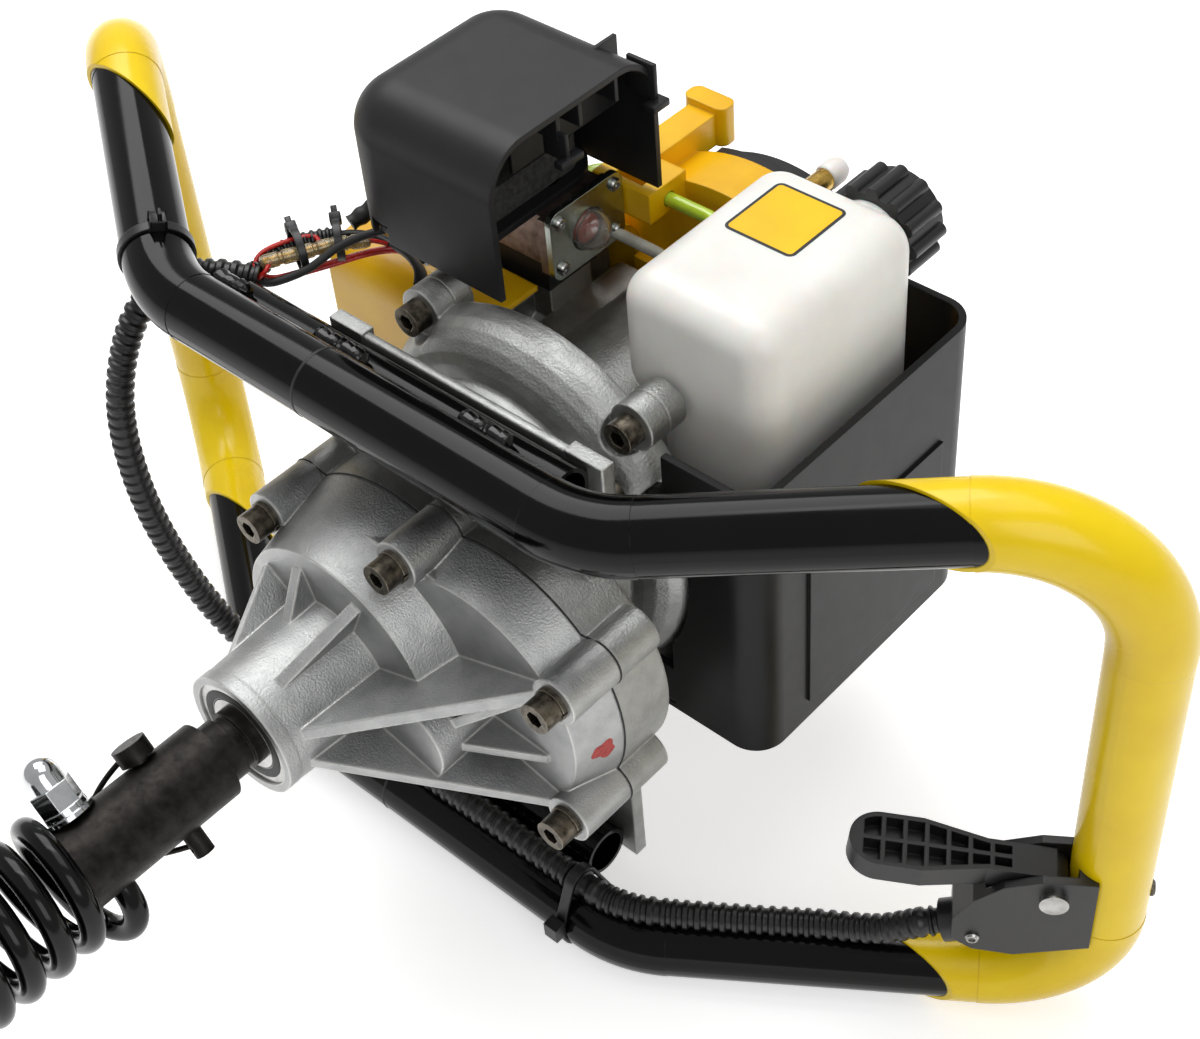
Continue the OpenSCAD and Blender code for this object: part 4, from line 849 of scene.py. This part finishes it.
@dataclass
class Welds:
    """Rippled beads between the handle tubes and their braces, and the seams of the tubes."""

    runs: tuple[Pair, ...] = ((-100, -80), (-42, -14), (34, 60))
    valleys: tuple[Pair, ...] = ((-108.8, 17.8), (128.2, 17.8))
    bead: float = 4.2
    ripple: float = 4.4
    ripple_depth: float = 1.3
    step: float = 0.4
    seam: float = -20.0
    tubes: tuple[Pair, ...] = ((-108.0, 0.0), (127.4, 0.0))
    tube_r: float = 14.0

    def run(self, bm: Mesh, start: float, stop: float, valley: Pair) -> None:
        """One bead along X; slow sines stand for the welder's hand.

        Args:
            bm: mesh to add to.
            start: first X in millimetres.
            stop: last X.
            valley: Y and Z of the bead.
        """
        n = int((stop - start) / self.step)
        y, z = valley
        line = [(start + self.step * i, y + 0.5 * math.sin(i * 0.21), z + 0.4 * math.sin(i * 0.17 + 1))
                for i in range(n + 1)]

        def radius(i: int) -> float:
            """Radius over the ripples, tapered at both ends."""
            drift = 0.8 * math.sin(i * 0.11 + start)
            wave = ((i * self.step + drift) / self.ripple) % 1.0
            end = min(1.0, (min(i, n - i) + 2) / 7)
            return (self.bead - self.ripple_depth * wave * wave + 0.3 * math.sin(i * 0.23)) * end

        sweep(bm, line, radius, 14)

    def seams(self) -> None:
        """Fine painted-over rings where the frame's two halves are butted."""
        r = self.tube_r
        bm = bmesh.new()
        for y, z in self.tubes:
            rim = [(r - 0.4, -0.8), (r + 0.08, -0.6), (r + 0.22, 0.0), (r + 0.08, 0.6), (r - 0.4, 0.8)]
            lathe(bm, MACHINE.at((self.seam, y, z)), MACHINE.way((1, 0, 0)), rim + rim[:1], 64)
        place("tube_seams", bm, Paint.RUBBER, "black_paint")

    def build(self) -> None:
        """Makes the beads and seams, painted with the frame."""
        for side, valley in zip(("front", "back"), self.valleys):
            bm = bmesh.new()
            for start, stop in self.runs:
                self.run(bm, start, stop, valley)
            place(f"weld_beads_{side}", bm, Paint.WELD, "black_paint")
        self.seams()


@dataclass
class Harness:
    """Leads between the conduit's end and the engine, with crimps and ties."""

    sleeve: Route = ((-105, -93, 36.6), (-106.5, -94.5, 50), (-101.5, -96, 63), (-93, -96, 75))
    ribs: tuple[float, ...] = (4.2, 4.2, 3.4, 3.4)
    lead: Route = ((-96, -96, 71), (-90, -96, 79), (-80, -94.4, 85.6), (-68, -93.4, 86), (-57, -95, 82.6),
                   (-48, -96.5, 77.5), (-41.5, -97.2, 71))
    lead_flat: float = 0.55
    crimps: tuple[tuple[Point, Point], ...] = (((-99, -98, 49), (6, 0, 11)), ((-92, -98, 61.5), (6, 0, 11)),
                                               ((-84, -98, 73), (8, 0, 9)))
    tails: tuple[Route, ...] = (
        ((-104, -94, 37), (-107, -98.5, 45), (-104, -99.5, 56), (-98, -99, 66), (-91, -98, 64)),
        ((-101, -93.5, 38), (-98, -97.5, 40), (-100, -98, 47), (-93, -98, 60)),
        ((-91, -98, 63), (-85, -98, 71.5), (-79, -97.5, 79), (-74, -95, 84)))
    boot: Route = ((-93, -98, 82), (-91, -100, 88), (-87, -103, 95), (-80, -106, 100))
    strap_thick: float = 1.2

    def sheathed(self) -> None:
        """Thin ribbed sleeve on from the conduit, and the flat black lead to the bell's lug."""
        swept("lead_sleeve", [smooth_path(self.sleeve, 0.7)], lambda i: self.ribs[i % len(self.ribs)], 18,
              Paint.CONDUIT, "conduit_plastic")
        swept("flat_black_lead", [smooth_path(self.lead, 1.5)], 3.1, 18, Paint.RUBBER, "black_rubber",
              squash=self.lead_flat)

    def joints(self) -> None:
        """Clear crimp sleeves over their barrels, and the short red wires that join them."""
        sleeve = [(1.8, -8.5), (2.6, -8), (3.1, -6), (3.1, -1.2), (2.6, -0.6), (2.6, 0.6), (3.1, 1.2),
                  (3.1, 6), (2.6, 8), (1.8, 8.5)]
        barrel = [(0.9, -7.4), (1.7, -7), (1.9, -5), (1.5, -3.6), (1.9, -2), (1.9, 2), (1.5, 3.6), (1.9, 5),
                  (1.7, 7), (0.9, 7.4)]
        for name, profile, sides, paint in (("crimp_sleeves", sleeve, 20, Paint.CRIMP),
                                            ("crimp_barrels", barrel, 16, Paint.BRASS)):
            bm = bmesh.new()
            for middle, way in self.crimps:
                lathe(bm, MACHINE.at(middle), MACHINE.way(way), profile, sides)
            place(name, bm, paint, "wire_red")
        swept("red_wire_tails", [smooth_path(tail, 1.2) for tail in self.tails], 0.95, 10, Paint.WIRE,
              "wire_red")

    def strap(self, bm: Mesh, centre: Point, axis: Point, r: float, head: Point, wide: float) -> None:
        """A nylon tie with its head and cut tail.

        Args:
            bm: mesh to add to.
            centre: middle of the loop, machine millimetres.
            axis: axis of the loop.
            r: inner radius.
            head: direction of the head from the middle.
            wide: strap width.
        """
        along = MACHINE.way(axis).normalized()
        out = MACHINE.way(head)
        out = (out - along * out.dot(along)).normalized()
        side = along.cross(out)
        axes = (along, out, side)
        middle = MACHINE.at(centre)
        half, outer = wide / 2, r + self.strap_thick
        lathe(bm, middle, along, [(r, -half), (outer, -half), (outer, half), (r, half), (r, -half)], 40)
        block(bm, middle + out * (r + 2.2) * MM, axes, (wide + 1.6, 4.4, 6.0), 0.6)
        block(bm, middle + out * (r + 5.2) * MM + side * 0.6 * MM, axes, (wide - 0.6, 5.0, 1.1), 0.3)

    def ties(self) -> None:
        """Tie round the left tube and two round the leads."""
        bm = bmesh.new()
        self.strap(bm, (-127, -110.6, 11.5), (-0.8225, -0.126, 0.5548), 14.2, (0.1, -1, 0.2), 4.6)
        self.strap(bm, (-98, -97, 58), (6, 0, 12), 8.0, (-1, -0.5, 0.4), 3.2)
        self.strap(bm, (-89.5, -97, 72), (8, 0, 10), 7.2, (-0.8, -0.7, 0.6), 3.2)
        place("nylon_ties", bm, Paint.DENSE, "black_plastic")

    def build(self) -> None:
        """Makes the leads, what holds them, and the boot where they go in under the hood."""
        self.sheathed()
        self.joints()
        self.ties()
        path = smooth_path(self.boot, 1.0)
        last = len(path) - 1
        swept("lead_boot", [path], lambda i: 3.2 + 1.6 * i / last + 0.3 * math.cos(i * 1.1), 20, Paint.RUBBER,
              "black_rubber")


@dataclass
class Mounts:
    """Cast webs between the frame's lugs, and the lugs' rounded corners."""

    lugs: Pair = (-42.0, 80.0)
    half: float = 9.0
    top: float = 32.2
    lift: float = 0.1
    thick: float = 4.0
    lap: float = 1.0
    web_edge: float = 1.2
    lug_edge: float = 1.8
    edges: tuple[tuple[str, float, float], ...] = (("front", -102.2, -86.0), ("back", 105.0, 121.6))

    def build(self) -> None:
        """Makes the webs and softens the lugs."""
        low, high = self.lugs[0] + self.half, self.lugs[1] - self.half
        for side, y0, y1 in self.edges:
            bm = bmesh.new()
            centre = ((low + high) / 2, (y0 + y1) / 2, self.top + self.thick / 2 + self.lift)
            block(bm, MACHINE.at(centre), AXES, (high - low + self.lap, y1 - y0, self.thick), self.web_edge)
            place(f"lug_web_{side}", bm, Paint.BELL, "cast_aluminium")
            soft = frame["nodes"][f"brackets_{side}"].modifiers.new("cast_corners", "BEVEL")
            soft.width, soft.segments, soft.limit_method = self.lug_edge * MM, 3, "ANGLE"


@dataclass
class Gearcase:
    """Gasket line and inspection mark on the casting."""

    drum: Point = (2.0, -3.0, 59.0)
    lobe: Point = (57.5, -6.0, 58.5)
    boss: float = 10.0
    screws: tuple[Pair, ...] = ((-45, -40), (31, -61), (107, -40), (107, 28), (31, 49), (-45, 28))
    middle: Pair = (31.0, -6.0)
    part_z: float = 5.0
    mark_angle: float = 3.8
    mark_z: float = -3.6
    mark_sides: int = 28

    def reach(self, angle: float) -> float:
        """Distance from the middle to the outline.

        Args:
            angle: direction in radians.

        Returns:
            Distance in millimetres.
        """
        circles = [self.drum, self.lobe] + [(x, y, self.boss) for x, y in self.screws]
        way = Vector((math.cos(angle), math.sin(angle)))
        far = 0.0
        for x, y, r in circles:
            to = Vector((x - self.middle[0], y - self.middle[1]))
            along = to.dot(way)
            inside = r * r - (to.length_squared - along * along)
            if inside > 0:
                far = max(far, along + math.sqrt(inside))
        return far

    def gasket(self) -> None:
        """Thin dark gasket that shows between the two halves."""
        path = []
        x, y = self.middle
        for k in range(361):
            a = math.radians(k)
            far = self.reach(a)
            path.append((x + far * math.cos(a), y + far * math.sin(a), self.part_z))
        swept("case_gasket", [path], 0.4, 8, Paint.RUBBER, "black_rubber")

    def mark(self) -> None:
        """Dab of red inspection paint on the lobe's wall."""
        bm = bmesh.new()
        start, n, rings = math.radians(self.mark_angle), self.mark_sides, []
        x, y = self.lobe[:2]
        for size, lift in ((0.1, 0.16), (0.5, 0.16), (0.85, 0.16), (1.0, 0.02)):
            rim = []
            for k in range(n):
                a = 2 * math.pi * k / n
                reach = size * (4.6 + 0.7 * math.sin(3 * a) + 0.5 * math.sin(5 * a + 1))
                z = self.mark_z + reach * math.sin(a)
                r = 52 + (z + 15) * 6.5 / 20 + lift
                t = start + reach * math.cos(a) / r
                rim.append(bm.verts.new(MACHINE.at((x + r * math.cos(t), y + r * math.sin(t), z))))
            rings.append(rim)
        bm.faces.new(rings[0])
        bridge(bm, rings, capped=False)
        place("inspection_mark", bm, Paint.MARK, "wire_red")

    def build(self) -> None:
        """Makes the gearcase pieces."""
        self.gasket()
        self.mark()


@dataclass
class Engine:
    """Small pieces on the hood, carburettor, tank and starter."""

    bulb_r: float = 8.2
    plate_inset: float = 0.005
    catches: tuple[tuple[Point, Point], ...] = (
        ((4, -162, 108), (12, 12, 1.8)), ((9, -156.5, 109), (4.5, 3.0, 12)),
        ((4, -165, 156.5), (14, 16, 2.0)), ((11, -156, 156), (6, 3.0, 9)))
    label_low: Pair = (67.0, 126.0)
    label_high: Pair = (99.0, 160.0)
    label_corner: float = 3.0
    tank_front: float = -141.95
    starter_axis: Pair = (24.0, -33.0)
    starter_ring: float = 71.0
    flange_z: float = 204.0

    def primer(self) -> None:
        """Clear bulb over a red-brown disc, with the plate's screws."""
        low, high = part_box("primer_bulb")
        base = Vector((low.x, (low.y + high.y) / 2, (low.z + high.z) / 2))
        way = Vector((1, 0, 0))
        tip = (high.x - low.x) / MM
        arc = [math.radians(a) for a in range(0, 90, 9)]
        dome = [(self.bulb_r * math.cos(a), tip - self.bulb_r + self.bulb_r * math.sin(a)) for a in arc]
        inner = [(r * 0.88, h - 0.9) for r, h in reversed(dome)]
        bulb = [(8.8, 2.0), (8.8, 5.9)] + dome + [(0.05, tip), (0.05, tip - 1.0)] + inner
        bm = bmesh.new()
        lathe(bm, base, way, bulb + [(7.2, 2.0), (8.8, 2.0)], 48)
        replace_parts(place("primer_dome", bm, Paint.CLEAR, "primer_rubber", Body.PRIMER), "primer_bulb")
        bm = bmesh.new()
        lathe(bm, base, way, [(0.05, 5.6), (2.6, 5.4), (3.0, 4.6), (6.2, 4.4), (6.8, 3.4), (6.8, 1.0)], 40)
        place("primer_disc", bm, Paint.PRIMER, "primer_rubber", Body.PRIMER)
        low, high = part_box("primer_plate")
        inset = self.plate_inset
        bm = bmesh.new()
        for y in (low.y + inset, high.y - inset):
            for z in (low.z + inset, high.z - inset):
                screw_head(bm, Vector((high.x, y, z)), way, 2.9, 2.0)
        place("primer_plate_screws", bm, Paint.STEEL, "zinc_plate")

    def hood_catches(self) -> None:
        """Catches that stand out of the hood's open end."""
        bm = bmesh.new()
        for centre, size in self.catches:
            block(bm, MACHINE.at(centre), AXES, size, 0.5)
        place("hood_catches", bm, Paint.PLASTIC, "black_plastic")

    def label(self) -> None:
        """Blank yellow film with a dark border on the tank's front."""
        for name, grow, depth, paint in (("tank_label_border", 0.0, 0.14, Paint.PLATE),
                                         ("tank_label_film", 1.3, 0.22, Paint.LABEL)):
            (x0, z0), (x1, z1) = self.label_low, self.label_high
            outline = rounded_corners((x0 + grow, z0 + grow), (x1 - grow, z1 - grow),
                                      self.label_corner - grow)
            sheet = [MACHINE.at((x, self.tank_front, z)) for x, z in outline]
            thick = MACHINE.way((0, -1, 0)) * depth * MM
            bm = bmesh.new()
            bridge(bm, [[bm.verts.new(p + out) for p in sheet] for out in (Vector(), thick)])
            place(name, bm, paint, "tank_plastic")

    def vent_tip(self) -> None:
        """Milky plastic tip on the tank's vent."""
        low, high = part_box("tank_vent")
        base = Vector(((low.x + high.x) / 2, high.y, (low.z + high.z) / 2))
        profile = [(4.9, -9), (5.4, -8), (5.4, -2), (4.4, 0.6), (2.2, 1.4), (0.05, 1.5)]
        bm = bmesh.new()
        lathe(bm, base, Vector((0, 1, 0)), profile, 28)
        place("vent_tip", bm, Paint.TANK, "tank_plastic")

    def starter_screws(self) -> None:
        """Screws round the starter cover's flange."""
        x, y = self.starter_axis
        bm = bmesh.new()
        for a in (45, 135, 225, 315):
            t = math.radians(a)
            seat = (x + self.starter_ring * math.cos(t), y + self.starter_ring * math.sin(t), self.flange_z)
            screw_head(bm, MACHINE.at(seat), MACHINE.way((0, 0, 1)), 3.6, 2.6)
        place("starter_screws", bm, Paint.SCREW, "blackened_steel")

    def build(self) -> None:
        """Makes the engine's small pieces."""
        self.primer()
        self.hood_catches()
        self.label()
        self.vent_tip()
        self.starter_screws()


@dataclass
class Stage:
    """Floor, lights and camera."""

    sensor_mm: float = 36.0
    lens_px: float = 2066.6
    clip: Pair = (0.02, 50.0)
    place_mm: Point = (460.64, -596.91, -334.78)
    right: Point = (0.74387222, 0.06691737, 0.6649633)
    up: Point = (-0.43478654, -0.70717902, 0.55754685)
    back: Point = (0.50755766, -0.70386071, -0.49695606)
    floor_half: float = 8.0
    floor_grey: float = 0.86
    floor_lift: float = 0.5
    sky: float = 0.48
    aim: Point = (0.0, 0.1, 0.1)
    lamps: tuple[tuple[str, Point, float, float], ...] = (
        ("key_softbox", (-0.9, 0.5, 1.9), 1.4, 23), ("fill_softbox", (1.6, -0.6, 1.4), 1.2, 10),
        ("top_softbox", (0.2, 0.6, 2.4), 1.6, 14))

    def camera(self) -> None:
        """The photograph's own camera."""
        data = bpy.data.cameras.new("photo_camera")
        data.sensor_fit = "HORIZONTAL"
        data.sensor_width = self.sensor_mm
        data.lens = self.sensor_mm * self.lens_px / IMAGE_SIZE[0]
        data.clip_start, data.clip_end = self.clip
        obj = add_object("photo_camera", data)
        axes = Matrix([MACHINE.way(v) for v in (self.right, self.up, self.back)]).transposed()
        obj.matrix_world = Matrix.Translation(MACHINE.at(self.place_mm)) @ axes.to_4x4()
        bpy.context.scene.camera = obj

    def floor(self) -> None:
        """Pale floor that reads white to the camera and still takes the shadow."""
        g = Graph("pale_studio_floor")
        rays = g.add("LightPath").outputs
        seen = rays["Is Camera Ray"]
        for kind in ("Is Glossy Ray", "Is Transmission Ray"):
            seen = g.add("Math", {0: seen, 1: rays[kind]}, operation="MAXIMUM").outputs[0]
        lift = g.add("Math", {0: seen}, operation="MULTIPLY", in_1=self.floor_lift)
        diffuse = g.add("BsdfDiffuse", Color=(self.floor_grey, self.floor_grey, self.floor_grey, 1))
        glow = g.add("Emission", {"Strength": lift.outputs[0]}, Color=(1, 1, 1, 1))
        both = g.add("AddShader", {0: diffuse.outputs[0], 1: glow.outputs[0]})
        g.add("OutputMaterial", {"Surface": both.outputs[0]})
        bm = bmesh.new()
        bmesh.ops.create_grid(bm, x_segments=1, y_segments=1, size=self.floor_half)
        mesh = bpy.data.meshes.new("studio_floor")
        bm.to_mesh(mesh)
        bm.free()
        mesh.materials.append(g.material)
        add_object("studio_floor", mesh)

    def lights(self) -> None:
        """Even studio light with soft square lamps, the key from the upper left."""
        world = bpy.data.worlds.new("studio_world")
        world.use_nodes = True
        sky = world.node_tree.nodes["Background"].inputs
        sky["Color"].default_value = (1, 1, 1, 1)
        sky["Strength"].default_value = self.sky
        bpy.context.scene.world = world
        for name, at, size, watts in self.lamps:
            data = bpy.data.lights.new(name, "AREA")
            data.shape, data.size, data.energy = "SQUARE", size, watts
            obj = add_object(name, data)
            obj.location = at
            obj.rotation_euler = (Vector(self.aim) - Vector(at)).to_track_quat("-Z", "Y").to_euler()

    def build(self) -> None:
        """Sets the stage."""
        self.camera()
        self.floor()
        self.lights()
        bpy.context.scene.view_settings.view_transform = "Standard"


def paint_nodes() -> None:
    """Gives every CAD node its finish."""
    for paint, names in NODE_PAINT.items():
        for name in names:
            mesh = frame["nodes"][name].data
            mesh.materials.clear()
            mesh.materials.append(paint.material())


def main() -> None:
    """Builds the scene and reports each piece."""
    logging.basicConfig(level=logging.INFO)
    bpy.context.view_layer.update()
    Stage().build()
    paint_nodes()
    for part in (Cords(), OutputLine(), Welds(), Mounts(), Harness(), Gearcase(), Engine(), Throttle()):
        known = set(bpy.data.objects.keys())
        part.build()
        for piece in sorted(set(bpy.data.objects.keys()) - known):
            LOG.info("%s: %s", type(part).__name__, piece)
    bpy.context.view_layer.update()


if __name__ == "__main__":
    main()
